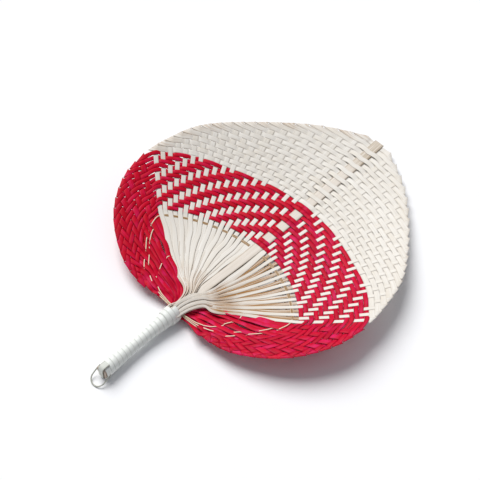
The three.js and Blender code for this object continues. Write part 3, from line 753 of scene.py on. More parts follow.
def make_mesh(name: str, rings: Sequence[np.ndarray], strip_coords: Sequence[np.ndarray],
              ages: Sequence[np.ndarray] | None = None) -> bpy.types.Mesh:
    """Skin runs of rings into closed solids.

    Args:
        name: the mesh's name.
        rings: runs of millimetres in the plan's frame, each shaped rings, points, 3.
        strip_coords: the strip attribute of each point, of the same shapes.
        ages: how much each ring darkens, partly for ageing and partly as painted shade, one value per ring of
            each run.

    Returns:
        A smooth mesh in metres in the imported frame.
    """
    points, coords, darkening_levels, faces, caps = [], [], [], [], []
    base = 0
    for place, (run, marks) in enumerate(zip(rings, strip_coords)):
        count, size = run.shape[0], run.shape[1]
        points.append(run.reshape(-1, 3))
        coords.append(marks.reshape(-1, 3))
        darkening_levels.append(np.repeat(ages[place] if ages is not None else np.zeros(count), size))
        ring = np.arange(size)
        for i in range(count - 1):
            a = base + i * size + ring
            b = base + i * size + np.roll(ring, -1)
            faces += np.stack([a, a + size, b + size, b], 1).tolist()
        caps += [(base + ring).tolist(), (base + (count - 1) * size + ring[::-1]).tolist()]
        base += count * size
    mesh = bpy.data.meshes.new(name)
    mesh.from_pydata(((np.vstack(points) + SHIFT) * MM).tolist(), [], faces + caps)
    attribute = mesh.attributes.new("strip", "FLOAT_VECTOR", "POINT")
    attribute.data.foreach_set("vector", np.vstack(coords).astype(np.float32).ravel())
    attribute = mesh.attributes.new("age", "FLOAT", "POINT")
    attribute.data.foreach_set("value", np.concatenate(darkening_levels).astype(np.float32))
    mesh.shade_smooth()
    mesh.validate()
    rims = {key for face in mesh.polygons[len(faces):] for key in face.edge_keys}
    mesh.edges.foreach_set("use_edge_sharp", [edge.key in rims for edge in mesh.edges])
    return mesh


def add_piece(mesh: bpy.types.Mesh, material: bpy.types.Material, slot: str, *nodes: str,
              body: str = "fan") -> bpy.types.Object:
    """Put a mesh in the scene for the solids that it stands for.

    Args:
        mesh: the piece's mesh.
        material: its finish.
        slot: the name of a material slot; not used.
        *nodes: the solids that it replaces.
        body: the body that it moves with.

    Returns:
        The new object.
    """
    mesh.materials.append(material)
    piece = put(mesh.name, mesh)
    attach(piece, body)
    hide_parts(*nodes)
    LOG.info("%s: %d faces", piece.name, len(mesh.polygons))
    return piece


@dataclass
class Float:
    """A stretch of a strip that holds one level where it passes another piece."""

    enter: float
    leave: float
    level: float


def float_lift(lengths: np.ndarray, floats: list[Float], pillow: float) -> np.ndarray:
    """Lift of a strip along its floats, with soft steps between them and a slight crown on top.

    Args:
        lengths: places along the strip.
        floats: the floats in order.
        pillow: rise of the middle of each upper float.

    Returns:
        One lift for each place.
    """
    for one, two in zip(floats, floats[1:]):
        if one.leave > two.enter - STEP_ROOM:
            one.leave = two.enter = (one.leave + two.enter) / 2
            one.leave -= STEP_ROOM / 2
            two.enter += STEP_ROOM / 2
    places = np.array([p for f in floats for p in (f.enter, f.leave)])
    levels = np.array([f.level for f in floats for _ in range(2)])
    i = np.clip(np.searchsorted(places, lengths) - 1, 0, len(places) - 2)
    share = ease((lengths - places[i]) / np.maximum(places[i + 1] - places[i], TINY))
    lift = levels[i] + (levels[i + 1] - levels[i]) * share
    start = 0
    for k, one in enumerate(floats):
        if k + 1 < len(floats) and floats[k + 1].level == one.level:
            continue
        enter, leave = floats[start].enter, one.leave
        start = k + 1
        if one.level > 0:
            middle, half = (enter + leave) / 2, max((leave - enter) / 2, STEP_ROOM)
            lift += pillow * np.clip(1 - ((lengths - middle) / half) ** 2, 0, 1)
    return lift


@dataclass
class Run:
    """A run of sections: middles, half widths as vectors, lifts, tilts, places along and the turned sign."""

    middle: np.ndarray
    across: np.ndarray
    lift: np.ndarray
    along: np.ndarray
    tilt: np.ndarray
    camber: float
    turned: float = 1.0


@dataclass(frozen=True)
class Weave:
    """How one kind of strip lies in the weave: its levels, the crown of each float and its own arch."""

    row_rise: float
    leg_rise: float
    pillow: float
    camber: float
    fold_share: dict[Side, float]


@dataclass(frozen=True)
class NeckStop:
    """A place on the way into the neck: the inmost and outermost strip's point, with lift and width."""

    inmost: tuple[float, float]
    outmost: tuple[float, float]
    lift: float
    width: float
    age: float


@dataclass(frozen=True)
class NeckWay:
    """Way of one group of strip ends into the neck, in plan points of its own side."""

    stops: tuple[NeckStop, ...]
    lap: float
    wave: float
    own_wave: float
    rough: float
    layer: float
    front_share: float = 1.0
    back_painted_shade: tuple[float, ...] = ()
    inmost_in_front: bool = False


# The last number of each stop darkens the loose strips there, partly browning at the pinch and partly painted
# shade where they crowd together and run under others; the back strips' values are painted shade on the
# strips behind the front ones, in the gaps between them
NECK_WAYS = {
    (Kind.NATURAL, Side.LEFT): NeckWay((
        NeckStop((7.0, 62.0), (45.0, 47.0), 0.2, 4.6, 0.05),
        NeckStop((5.8, 44.0), (27.0, 37.0), 0.8, 3.6, 0.45),
        NeckStop((3.0, 32.0), (12.5, 28.5), 1.6, 2.4, 0.9),
        NeckStop((0.5, 23.0), (6.0, 21.0), 1.6, 1.7, 0.6),
        NeckStop((-1.5, 14.5), (4.5, 14.0), 1.4, 1.5, 0.3),
        NeckStop((1.0, 5.5), (7.4, 6.5), 1.8, 1.5, 0.2),
        NeckStop((1.5, 0.5), (5.5, 0.5), 1.2, 1.4, 0.2)),
        lap=-1.0, wave=1.4, own_wave=0.5, rough=0.5, layer=0.16, front_share=1.16,
        back_painted_shade=(0.0, 0.2, 0.8, 0.8)),
    (Kind.NATURAL, Side.RIGHT): NeckWay((
        NeckStop((8.4, 66.0), (50.0, 48.0), 0.3, 4.2, 0.4),
        NeckStop((7.2, 50.0), (34.0, 36.0), 1.2, 3.2, 1.3),
        NeckStop((6.4, 41.5), (23.5, 28.5), 2.6, 2.7, 0.6),
        NeckStop((4.8, 35.5), (15.5, 26.5), 3.4, 2.3, 0.25),
        NeckStop((-0.5, 27.5), (9.5, 15.5), 3.7, 2.1, 0.2),
        NeckStop((-3.5, 16.0), (7.5, 8.0), 3.5, 1.9, 0.15),
        NeckStop((-2.5, 5.5), (7.0, 2.5), 3.3, 1.5, 0.2),
        NeckStop((-2.0, 0.5), (5.0, 0.5), 3.0, 1.4, 0.2)),
        lap=-1.0, wave=0.3, own_wave=0.4, rough=0.5, layer=0.25, front_share=0.74,
        back_painted_shade=(1.6, 3.2, 3.6, 1.2), inmost_in_front=True),
    (Kind.RED, Side.LEFT): NeckWay((
        NeckStop((26.0, 37.0), (31.0, 8.0), -0.3, 4.4, 0.0),
        NeckStop((10.0, 25.5), (14.5, 10.0), -1.7, 3.2, 0.2),
        NeckStop((3.0, 11.5), (6.5, 5.5), -2.6, 1.9, 0.4),
        NeckStop((2.5, 1.0), (5.0, 1.0), -2.9, 1.4, 0.4)),
        lap=1.0, wave=0.8, own_wave=0.9, rough=1.1, layer=0.5),
    (Kind.RED, Side.RIGHT): NeckWay((
        NeckStop((26.0, 36.0), (31.0, 5.5), -0.3, 4.4, 0.0),
        NeckStop((9.0, 26.0), (14.5, 8.0), -1.5, 3.2, 0.2),
        NeckStop((1.0, 14.0), (6.5, 5.0), -2.2, 1.9, 0.4),
        NeckStop((1.5, 1.0), (5.0, 1.0), -2.9, 1.4, 0.4)),
        lap=1.0, wave=0.8, own_wave=0.9, rough=1.1, layer=0.5),
}


def eased(lengths: np.ndarray, places: Sequence[float], values: Sequence[float]) -> np.ndarray:
    """Values between places, with soft steps.

    Args:
        lengths: where the values are wanted.
        places: rising places.
        values: the value at each place.

    Returns:
        One value for each length.
    """
    places, values = np.asarray(places, float), np.asarray(values, float)
    i = np.clip(np.searchsorted(places, lengths) - 1, 0, len(places) - 2)
    share = ease((lengths - places[i]) / np.maximum(places[i + 1] - places[i], TINY))
    return values[i] + (values[i + 1] - values[i]) * share


WEAVES = {
    Kind.NATURAL: Weave(row_rise=0.24, leg_rise=0.12, pillow=0.05, camber=0.03,
                        fold_share={Side.LEFT: 0.9, Side.RIGHT: 0.45}),
    Kind.RED: Weave(row_rise=0.4, leg_rise=0.34, pillow=0.4, camber=0.42,
                    fold_share={Side.LEFT: 0.62, Side.RIGHT: 0.6}),
}


@dataclass
class HalfStrip:
    """Sections of half a strip on its own side, and where its bundle takes over."""

    rings: np.ndarray
    marks: np.ndarray
    ages: np.ndarray
    split: int


@dataclass
class WovenBlade:
    """The woven strips: each one leg, fold, row, fold and leg again."""

    plan: FanPlan
    thickness: float = 0.3
    rib_rise: float = 0.66
    row_fill: float = 0.965
    leg_fill: float = 0.93
    red_leg_fill: float = 0.97
    fold_spread: float = 0.24
    leg_width: dict[Side, float] = field(default_factory=lambda: {Side.LEFT: 4.1, Side.RIGHT: 3.3})
    leg_width_gain: float = 1.35
    red_leg_width: float = 5.4
    step: float = 0.9
    fold_lift: float = 0.2
    fold_turn: float = 48.0
    fold_room_limit: float = 10.0
    fold_lead: float = 0.55
    fold_row_share: float = 0.4
    fold_cover: float = 0.53
    fold_spacing_limit: float = 18.0
    fold_inset_share: float = 0.8
    fold_angles: tuple[float, ...] = (25.0, 90.0, 155.0)
    fold_blend: float = 2.0
    spread_length: float = 5.0
    rim_dark_length: float = 16.0
    uneven_width: float = 0.02
    width_knots: int = 12
    guide_reach: float = 8.0
    guide_fade: float = 5.0
    bend_lead: float = 8.0
    bend_share: float = 0.4
    neck_knots: int = 9
    neck_blend: float = 4.0
    wave_fade: float = 0.25
    wave_reach: int = 6
    calm_until: float = 0.35
    muddle_from: int = 3
    widening_from: float = 0.8
    rib_half: float = 5.0
    rib_room: float = 0.15
    leg_room: float = 0.05
    least_sine: float = 0.3
    least_cosine: float = 0.4
    least_slope: float = 0.2
    least_bend: float = 0.5
    rim_darkening: dict[Side, float] = field(default_factory=lambda: {Side.LEFT: 0.55, Side.RIGHT: 0.12})
    tilt_limit: float = 0.85
    muddle: float = 0.08
    ridge_every: int = 5
    # Painted shade that deepens the woven red on the left half
    left_red_shade: float = 0.8
    inmost_share: dict[Kind, float] = field(default_factory=lambda: {Kind.NATURAL: 1.5, Kind.RED: 2.0})
    ridge_rise: float = 0.8
    seed: int = 7
    tones: dict[int, float] = field(default_factory=dict)

    def __post_init__(self) -> None:
        """Give each strip its tone."""
        dice = np.random.default_rng(self.seed)
        self.tones = {strip: float(dice.random()) for strip in range(1, self.plan.count + 1)}

    def room(self, strip: int, members: dict[int, PlanPath], points: np.ndarray) -> np.ndarray:
        """Distance from points of a row or leg to its nearest neighbours of the same kind.

        Args:
            strip: the strip's number.
            members: all rows or all legs.
            points: plan points.

        Returns:
            One distance for each point.
        """
        sides = [s for s in (strip - 1, strip + 1)
                 if s in members and self.plan.kind(s) is self.plan.kind(strip)]
        return np.min([members[s].room(points) for s in sides], axis=0)

    def row_width(self, strip: int, points: np.ndarray) -> np.ndarray:
        """Width of a row at its points.

        Args:
            strip: the strip's number.
            points: plan points.

        Returns:
            One width for each point.
        """
        natural = self.plan.kind(strip) is Kind.NATURAL
        pitch = self.plan.natural_pitch if natural else self.plan.red_pitch
        return self.row_fill * np.minimum(self.room(strip, self.plan.rows, points), pitch)

    def leg_breadth(self, strip: int, side: Side, points: np.ndarray) -> np.ndarray:
        """Width of a leg at its points in the weave.

        Args:
            strip: the strip's number.
            side: which half.
            points: plan points.

        Returns:
            One width for each point.
        """
        room = self.room(strip, self.plan.legs, points)
        if self.plan.kind(strip) is Kind.RED:
            return np.minimum(self.red_leg_fill * room, self.red_leg_width)
        band = self.plan.rows_depth(self.plan.red_count)
        beyond = (np.linalg.norm(points, axis=1) - self.plan.band_inner) / band
        widened = self.leg_width[side] + self.leg_width_gain * ease(beyond - self.widening_from)
        return np.minimum(self.leg_fill * room, widened)

    def hits(self, strip: int, on_row: bool) -> list[Crossing]:
        """Crossings of a strip's row or leg in order along it.

        Args:
            strip: the strip's number.
            on_row: True for its row, False for its leg.

        Returns:
            The crossings.
        """
        if on_row:
            return sorted((c for c in self.plan.crossings if c.row == strip), key=lambda c: c.on_row)
        return sorted((c for c in self.plan.crossings if c.leg == strip), key=lambda c: c.on_leg)

    def floats(self, strip: int, on_row: bool,
               side: Side) -> tuple[list[Float], list[float], list[np.ndarray]]:
        """Levels of a row or leg where it passes others, and the directions that it is cut along there.

        Args:
            strip: the strip's number.
            on_row: True for its row, False for its leg.
            side: which half.

        Returns:
            The floats, the lengths of the crossings and the directions.
        """
        plan, weave = self.plan, WEAVES[self.plan.kind(strip)]
        path = (plan.rows if on_row else plan.legs)[strip]
        floats, marks, guides = [], [], []
        if on_row:
            sign = 1 if plan.row_over(strip, -1) else -1
            floats.append(Float(0.0, self.rib_half + self.rib_room, sign * self.rib_rise))
        for hit in self.hits(strip, on_row):
            other = plan.legs[hit.leg] if on_row else plan.rows[hit.row]
            at, other_at = (hit.on_row, hit.on_leg) if on_row else (hit.on_leg, hit.on_row)
            point = path.at(np.array([at]))
            width = self.leg_breadth(hit.leg, side, point) if on_row else self.row_width(hit.row, point)
            guide = other.along(other_at) * (-1 if on_row else 1)
            sine = max(self.least_sine, float(left_of(path.along(at)) @ guide))
            half = float(width[0]) / 2 / sine + self.leg_room
            rise = weave.row_rise if on_row else weave.leg_rise
            floats.append(Float(at - half, at + half, rise if hit.row_over == on_row else -rise))
            marks.append(at)
            guides.append(guide)
        return floats, marks, guides

    def member_run(self, strip: int, on_row: bool, side: Side, path: PlanPath, lengths: np.ndarray,
                   dice: np.random.Generator) -> Run:
        """Sections of the woven part of a row or a leg.

        Args:
            strip: the strip's number.
            on_row: True for its row, False for its leg.
            side: which half.
            path: the way that it takes.
            lengths: where the sections stand.
            dice: the strip's own random source.

        Returns:
            The run of sections.
        """
        floats, marks, guides = self.floats(strip, on_row, side)
        middle, square = path.at(lengths), left_of(path.along(lengths))
        across = square
        if guides:
            places = np.array([marks[0] - self.guide_reach, *marks, marks[-1] + self.guide_reach])
            ways = np.vstack([left_of(path.along(max(places[0], 0))), guides,
                              left_of(path.along(min(places[-1], path.total)))])
            across = np.stack([np.interp(lengths, places, ways[:, k]) for k in (0, 1)], -1)
            share = ease((lengths - places[-1] + self.guide_fade) / self.guide_fade)[:, None]
            across = across * (1 - share) + square * share
            across /= np.linalg.norm(across, axis=1, keepdims=True)
        width = self.row_width(strip, middle) if on_row else self.leg_breadth(strip, side, middle)
        knots, fold_at = np.linspace(0, path.total, self.width_knots), path.total if on_row else 0
        uneven = np.interp(lengths, knots, dice.normal(size=self.width_knots))
        width = width * (1 + self.uneven_width * uneven)
        width = width * (1 + self.fold_spread * np.exp(-((lengths - fold_at) / self.spread_length) ** 2))
        half = width / 2 / np.maximum((across * square).sum(1), self.least_cosine)
        weave = WEAVES[self.plan.kind(strip)]
        lift = np.full(len(lengths), floats[0].level if floats else 0.0)
        if len(floats) > 1:
            lift = float_lift(lengths, floats, weave.pillow)
        return Run(middle, across * half[:, None], lift, lengths, np.zeros(len(lengths)), weave.camber)

    def group(self, strip: int) -> tuple[float, int]:
        """Share across its group, from the inmost strip to the outermost, and the group's count.

        Args:
            strip: the strip's number.

        Returns:
            The share from 0 to 1, and the count.
        """
        red = self.plan.kind(strip) is Kind.RED
        count = self.plan.red_count if red else self.plan.natural_count
        place = (self.plan.red_count if red else self.plan.count) - strip
        return place / (count - 1), count

    def painted_left_shade(self, strip: int, side: Side) -> float:
        """How much painted shade deepens the woven red of the left half, making that lobe a purer red."""
        return self.left_red_shade if self.plan.kind(strip) is Kind.RED and side is Side.LEFT else 0.0

    def leg_way(self, strip: int, side: Side) -> tuple[PlanPath, list[float]]:
        """A leg's whole way from its fold into the neck, and the lengths of the weave's edge and the stops.

        Args:
            strip: the strip's number.
            side: which half.

        Returns:
            The path and the lengths.
        """
        straight = self.plan.legs[strip]
        share, _ = self.group(strip)
        dice = np.random.default_rng(self.seed + 5000 + 10 * strip + side.value)
        shift = dice.uniform(-self.muddle, self.muddle)
        stops = []
        for i, stop in enumerate(NECK_WAYS[self.plan.kind(strip), side].stops):
            place = np.clip(share + shift * (i >= self.muddle_from), 0, 1)
            stops.append(np.array(stop.inmost) + place * np.subtract(stop.outmost, stop.inmost))
        lead = straight.total - min(self.bend_lead, self.bend_share * straight.total)
        bends = spline([straight.at(lead), straight.points[-1], *stops], 200, even=False)
        path = PlanPath(np.vstack([straight.at(np.linspace(0, lead, 30))[:-1], bends]))
        nearest = [int(np.argmin(np.linalg.norm(path.points - stop, axis=1))) for stop in stops]
        return path, [straight.total, *path.lengths[nearest]]

    def front(self, strip: int, side: Side) -> int:
        """Layer of a strip at the neck: 1 in front and -1 behind."""
        inmost_in_front = NECK_WAYS[self.plan.kind(strip), side].inmost_in_front
        return 1 if (inmost_in_front if self.group(strip)[0] == 0 else strip % 2) else -1

    def loosen(self, run: Run, strip: int, side: Side, path: PlanPath, places: list[float]) -> None:
        """Let the lift, tilt and width of a leg pass over to those of its stops into the neck.

        Args:
            run: the leg's sections, which are changed.
            strip: the strip's number.
            side: which half.
            path: the leg's way.
            places: the lengths of the weave's edge and the stops.
        """
        kind, front = self.plan.kind(strip), self.front(strip, side)
        way, lengths = NECK_WAYS[kind, side], run.along
        share, count = self.group(strip)
        edge = float(self.leg_breadth(strip, side, self.plan.legs[strip].points[-2:-1])[0])
        spacing = [np.linalg.norm(np.subtract(stop.outmost, stop.inmost)) / (count - 1) for stop in way.stops]
        tilts = [way.lap * min(self.tilt_limit, self.thickness * stop.width / 2 / gap)
                 for stop, gap in zip(way.stops, spacing)]
        fades = np.linspace(1, 0, len(way.stops)) ** 2
        lifts = [stop.lift + front * way.layer * fade for stop, fade in zip(way.stops, fades)]
        loose = eased(lengths, places, [front * way.layer, *lifts])
        inside = ease((lengths - places[0] + self.neck_blend / 2) / self.neck_blend)
        run.lift = run.lift * (1 - inside) + loose * inside
        run.tilt = eased(lengths, places, [0.0, *tilts])
        shares = [way.front_share if front > 0 and i < 2 else 1.0 for i in range(len(way.stops))]
        if share == 0:
            edge, shares[0] = edge * self.inmost_share[kind], self.inmost_share[kind]
        widths = [stop.width * one for stop, one in zip(way.stops, shares)]
        width = np.interp(lengths, places, [edge, *widths])
        square = left_of(path.along(lengths))
        run.across = run.across * (1 - inside)[:, None] + square * (inside * width / 2)[:, None]

    def crumple(self, run: Run, strip: int, side: Side, path: PlanPath, places: list[float],
                dice: np.random.Generator) -> None:
        """Give the loose part of a leg its waves, bumps and ridge.

        Args:
            run: the leg's sections, which are changed.
            strip: the strip's number.
            side: which half.
            path: the leg's way.
            places: the lengths of the weave's edge and the stops.
            dice: the strip's own random source.
        """
        natural = self.plan.kind(strip) is Kind.NATURAL
        way, lengths = NECK_WAYS[self.plan.kind(strip), side], run.along
        shared = np.random.default_rng(self.seed + 2000 + 1000 * side.value)
        knots = np.linspace(0, 1, self.neck_knots)
        along = np.clip((lengths - places[0]) / (path.total - places[0]), 0, 1)
        wave = way.wave * np.interp(along, knots, shared.normal(size=self.neck_knots))
        wave += way.own_wave * np.interp(along, knots, dice.normal(size=self.neck_knots))
        window = 2 * self.wave_reach + 1
        padded = np.pad(wave, self.wave_reach, mode="edge")
        smooth = np.convolve(padded, np.ones(window) / window, "valid")
        hold = ease(along / self.wave_fade) * ease((1 - along) / self.wave_fade)
        run.middle = run.middle + left_of(path.along(lengths)) * (smooth * hold)[:, None]
        calm = ease((along - self.calm_until) / self.wave_fade) if natural else 1.0
        bumps = np.interp(along, knots, dice.uniform(-1, 1, size=self.neck_knots))
        run.lift = run.lift + way.rough * bumps * hold * calm
        if natural:
            ridge = self.ridge_rise if strip % self.ridge_every == 0 else -self.ridge_rise / 2
            run.lift = run.lift + ridge * eased(lengths, [places[2], places[4]], [0.0, 1.0])

    def leg_ages_and_shades(self, strip: int, side: Side, lengths: np.ndarray, places: list[float],
                 dice: np.random.Generator) -> np.ndarray:
        """How browned a leg is along its way.

        Args:
            strip: the strip's number.
            side: which half.
            lengths: where the sections stand.
            places: the lengths of the weave's edge and the stops.
            dice: the strip's own random source.

        Returns:
            One darkening level for each section.
        """
        way, painted_left_shade = NECK_WAYS[self.plan.kind(strip), side], self.painted_left_shade(strip, side)
        darkening_levels = [painted_left_shade, *[stop.age for stop in way.stops]]
        # Painted shade on the strips that lie behind the front ones
        if self.front(strip, side) < 0 and self.group(strip)[0] > 0:
            darkening_levels[:len(way.back_painted_shade)] = way.back_painted_shade
        ages = np.where(lengths > places[0], eased(lengths, places, darkening_levels), painted_left_shade)
        return ages * float(dice.uniform(0.7, 1.1))

    def leg_run(self, strip: int, side: Side, start: float,
                dice: np.random.Generator) -> tuple[Run, np.ndarray, int]:
        """Sections of a whole leg: its woven part, then its way into the neck.

        Args:
            strip: the strip's number.
            side: which half.
            start: length at the first section.
            dice: the strip's own random source.

        Returns:
            The run, how much each section darkens, partly as painted shade, and the section where the bundle
            takes over.
        """
        path, places = self.leg_way(strip, side)
        lengths = np.linspace(start, path.total, int((path.total - start) / self.step))
        run = self.member_run(strip, False, side, path, lengths, dice)
        self.loosen(run, strip, side, path, places)
        self.crumple(run, strip, side, path, places, dice)
        ages = self.leg_ages_and_shades(strip, side, lengths, places, dice)
        bundled = places[2 if self.plan.kind(strip) is Kind.NATURAL else 1]
        return run, ages, int(np.searchsorted(lengths, bundled))

    def rings(self, run: Run) -> np.ndarray:
        """Points of the sections of a run.

        Args:
            run: the sections.

        Returns:
            Points shaped sections, profile points, 3.
        """
        u, v = PROFILE.T
        plan_points = run.middle[:, None] + run.turned * run.across[:, None] * u[None, :, None]
        raise_by = run.turned * v * self.thickness + run.camber * (1 - u**2)
        tilted = run.turned * run.tilt[:, None] * u[None]
        height = self.plan.dish(plan_points) + run.lift[:, None] + raise_by[None] + tilted
        return raised(plan_points, height)

    def crease(self, strip: int, side: Side) -> tuple[float, np.ndarray, np.ndarray]:
        """How a strip folds at the rim.

        Args:
            strip: the strip's number.
            side: which half.

        Returns:
            The turn from row to leg in degrees, the direction of the crease and the way out of the rim.
        """
        plan = self.plan
        out = -plan.legs[strip].along(0.0)
        back = -plan.rows[strip].along(plan.rows[strip].total)
        turn = math.degrees(math.acos(np.clip(float(out @ back), -1, 1)))
        share = WEAVES[plan.kind(strip)].fold_share[side]
        crease = (out + back) / np.linalg.norm(out + back)
        nearest = int(np.argmin(np.linalg.norm(plan.rim.points - plan.rows[strip].points[-1], axis=1)))
        tangent = plan.rim.along(plan.rim.lengths[nearest])
        crease = crease * (1 - share) + tangent * share * math.copysign(1, float(tangent @ crease))
        crease /= np.linalg.norm(crease)
        outer = left_of(crease)
        return turn, crease, outer * math.copysign(1, float(outer @ (out - back)))

    def fold_room(self, strip: int, side: Side) -> float:
        """Length of row that the fold takes up, which grows as the crease runs along the row.

        Args:
            strip: the strip's number.
            side: which half.

        Returns:
            The length.
        """
        row = self.plan.rows[strip]
        width = float(self.row_width(strip, row.points[-1:])[0])
        _, crease, outer = self.crease(strip, side)
        ahead = row.along(row.total)
        slant = abs(float(ahead @ crease)) / max(abs(float(ahead @ outer)), self.least_slope)
        return min(max(self.fold_lead * width, 0.5 * width * slant), self.fold_room_limit)

    def fold_rings(self, strip: int, side: Side, row: Run, leg: Run) -> tuple[np.ndarray, bool]:
        """Sections round the fold at the rim, where the row turns over into its leg.

        Args:
            strip: the strip's number.
            side: which half.
            row: the row's run up to the fold.
            leg: the leg's run from the fold on.

        Returns:
            The rings, and True where the strip turns over.
        """
        plan = self.plan
        corner = plan.rows[strip].points[-1]
        turn, crease, outer = self.crease(strip, side)
        width = np.linalg.norm(row.across[-1]) + np.linalg.norm(leg.across[0])
        u, v = PROFILE.T
        if turn < self.fold_turn:
            ahead, on = plan.rows[strip].along(plan.rows[strip].total), plan.legs[strip].along(0.0)
            way = left_of(ahead) + left_of(on)
            way /= np.linalg.norm(way)
            half = width / 2 / max(self.least_bend, float(way @ left_of(ahead)))
            one = np.zeros(1)
            return self.rings(Run(corner[None], way[None] * half, one, one, one, row.camber)), False
        share = WEAVES[plan.kind(strip)].fold_share[side]
        beside = [plan.rows[s].points[-1] for s in (strip - 1, strip + 1) if s in plan.rows]
        spacing = float(np.mean([np.linalg.norm(corner - point) for point in beside]))
        half = (1 - share) * width / 2 / math.sin(math.radians(turn) / 2)
        half += share * self.fold_cover * min(spacing, self.fold_spacing_limit)
        sign = 1.0 if side is Side.LEFT else -1.0
        rings = []
        for angle in np.radians(self.fold_angles):
            inset = plan.rim_inset * self.fold_inset_share * share
            centre = corner + outer * (inset + self.fold_lift * math.sin(angle))
            offset = v * self.thickness
            flat = centre + crease * half * u[:, None] + outer * (sign * math.sin(angle) * offset)[:, None]
            height = (plan.dish(flat) + sign * self.fold_lift * math.cos(angle)
                      + math.cos(angle) * offset)
            rings.append(raised(flat, height))
        return np.array(rings), True

    def half_strip(self, strip: int, side: Side) -> HalfStrip:
        """Sections of half a strip, from the centre line out to the fold and into the neck.

        Args:
            strip: the strip's number.
            side: which half.

        Returns:
            The sections.
        """
        dice = np.random.default_rng(self.seed + 100 * strip + side.value)
        path = self.plan.rows[strip]
        end = path.total - min(self.fold_room(strip, side), self.fold_row_share * path.total)
        fold_room = self.fold_lead * float(self.row_width(strip, path.points[-1:])[0])
        row = self.member_run(strip, True, side, path, np.linspace(0, end, int(end / self.step)), dice)
        leg, leg_ages_and_shades, split = self.leg_run(strip, side, fold_room, dice)
        fold, turned = self.fold_rings(strip, side, row, leg)
        if turned:
            leg.turned = -1.0
            sign = 1.0 if side is Side.LEFT else -1.0
            for run, edge, level in ((row, row.along[-1], sign), (leg, leg.along[0], -sign)):
                near = np.exp(-((run.along - edge) / self.fold_blend) ** 2)
                run.lift = run.lift * (1 - near) + level * self.fold_lift * near
        rings = np.vstack([self.rings(row), fold, self.rings(leg)])
        along = np.concatenate([row.along, np.linspace(row.along[-1], path.total, len(fold)),
                                path.total + leg.along])
        # The rows darken towards the rim, much more on the left half than on the right
        rim_dark = self.rim_darkening[side] * float(dice.uniform(0.3, 1.0))
        to_rim = (path.total - row.along) / self.rim_dark_length
        row_ages_and_shades = np.maximum(rim_dark * ease(1 - to_rim), self.painted_left_shade(strip, side))
        ages = np.concatenate([row_ages_and_shades, np.full(len(fold), rim_dark), leg_ages_and_shades])
        marks = strip_marks(along * side.value, PROFILE[:, 0], self.tones[strip])
        rings[..., 0] *= side.value
        return HalfStrip(rings, marks, ages, len(row.along) + len(fold) + split)

    def build(self) -> None:
        """Make every strip and the four bundles that take its ends into the neck."""
        finishes = {Kind.RED: RED_BAMBOO.material(), Kind.NATURAL: NATURAL_BAMBOO.material()}
        ends: dict[tuple[Kind, Side], list[HalfStrip]] = {(kind, side): [] for kind in Kind for side in Side}
        for strip in range(1, self.plan.count + 1):
            kind = self.plan.kind(strip)
            left, right = self.half_strip(strip, Side.LEFT), self.half_strip(strip, Side.RIGHT)
            parts = [np.concatenate([a[:left.split + 1][:0:-1], b[:right.split + 1]]) for a, b in
                     ((left.rings, right.rings), (left.marks, right.marks), (left.ages, right.ages))]
            order = strip if kind is Kind.RED else strip - self.plan.red_count
            node = f"{kind.value}_strip_{order:02d}"
            mesh = make_mesh(f"woven_{node}", *[[part] for part in parts])
            add_piece(mesh, finishes[kind], f"{kind.value}_strip", node)
            ends[kind, Side.LEFT].append(left)
            ends[kind, Side.RIGHT].append(right)
        for (kind, side), halves in ends.items():
            runs = [[part[half.split:][::side.value] for half in halves for part in [getattr(half, name)]]
                    for name in ("rings", "marks", "ages")]
            node = f"{side.name.lower()}_{kind.value}_bundle"
            add_piece(make_mesh(f"gathered_{node}", *runs), finishes[kind], f"{kind.value}_strip", node)


@dataclass
class CentreRib:
    """The flat splint down the middle, from the tip into the handle."""

    plan: FanPlan
    width: float = 10.0
    neck_width: float = 7.5
    thickness: float = 0.8
    node_places: tuple[float, ...] = (41.0, 96.0)
    node_rise: float = 0.25
    node_length: float = 1.2
    aged_from: float = 225.0
    aged_over: float = 30.0
    tip_age: float = 1.3
    tone: float = 0.4
    ring_count: int = 240

    def build(self) -> None:
        """Make the rib, with a low ridge at each growth ring of the cane."""
        y = np.linspace(self.plan.length, RIB_START, self.ring_count)
        widened = (self.width - self.neck_width) * np.minimum(1, y / self.plan.band_inner)
        half = (self.neck_width + widened) / 2
        ridge = sum(self.node_rise * np.exp(-((y - place) / self.node_length) ** 2)
                    for place in self.node_places)
        u, v = PROFILE.T
        x = half[:, None] * u[None]
        flat = np.stack([x, np.broadcast_to(y[:, None], x.shape)], -1)
        height = self.plan.dish(flat) + (self.thickness + ridge)[:, None] * v[None]
        rings = raised(flat, height)
        marks = strip_marks(y, u, self.tone)
        ages = self.tip_age * ease((y - self.aged_from) / self.aged_over)
        add_piece(make_mesh("flat_rib", [rings], [marks], [ages]), RIB_BAMBOO.material(), "centre_rib",
                  "centre_rib")


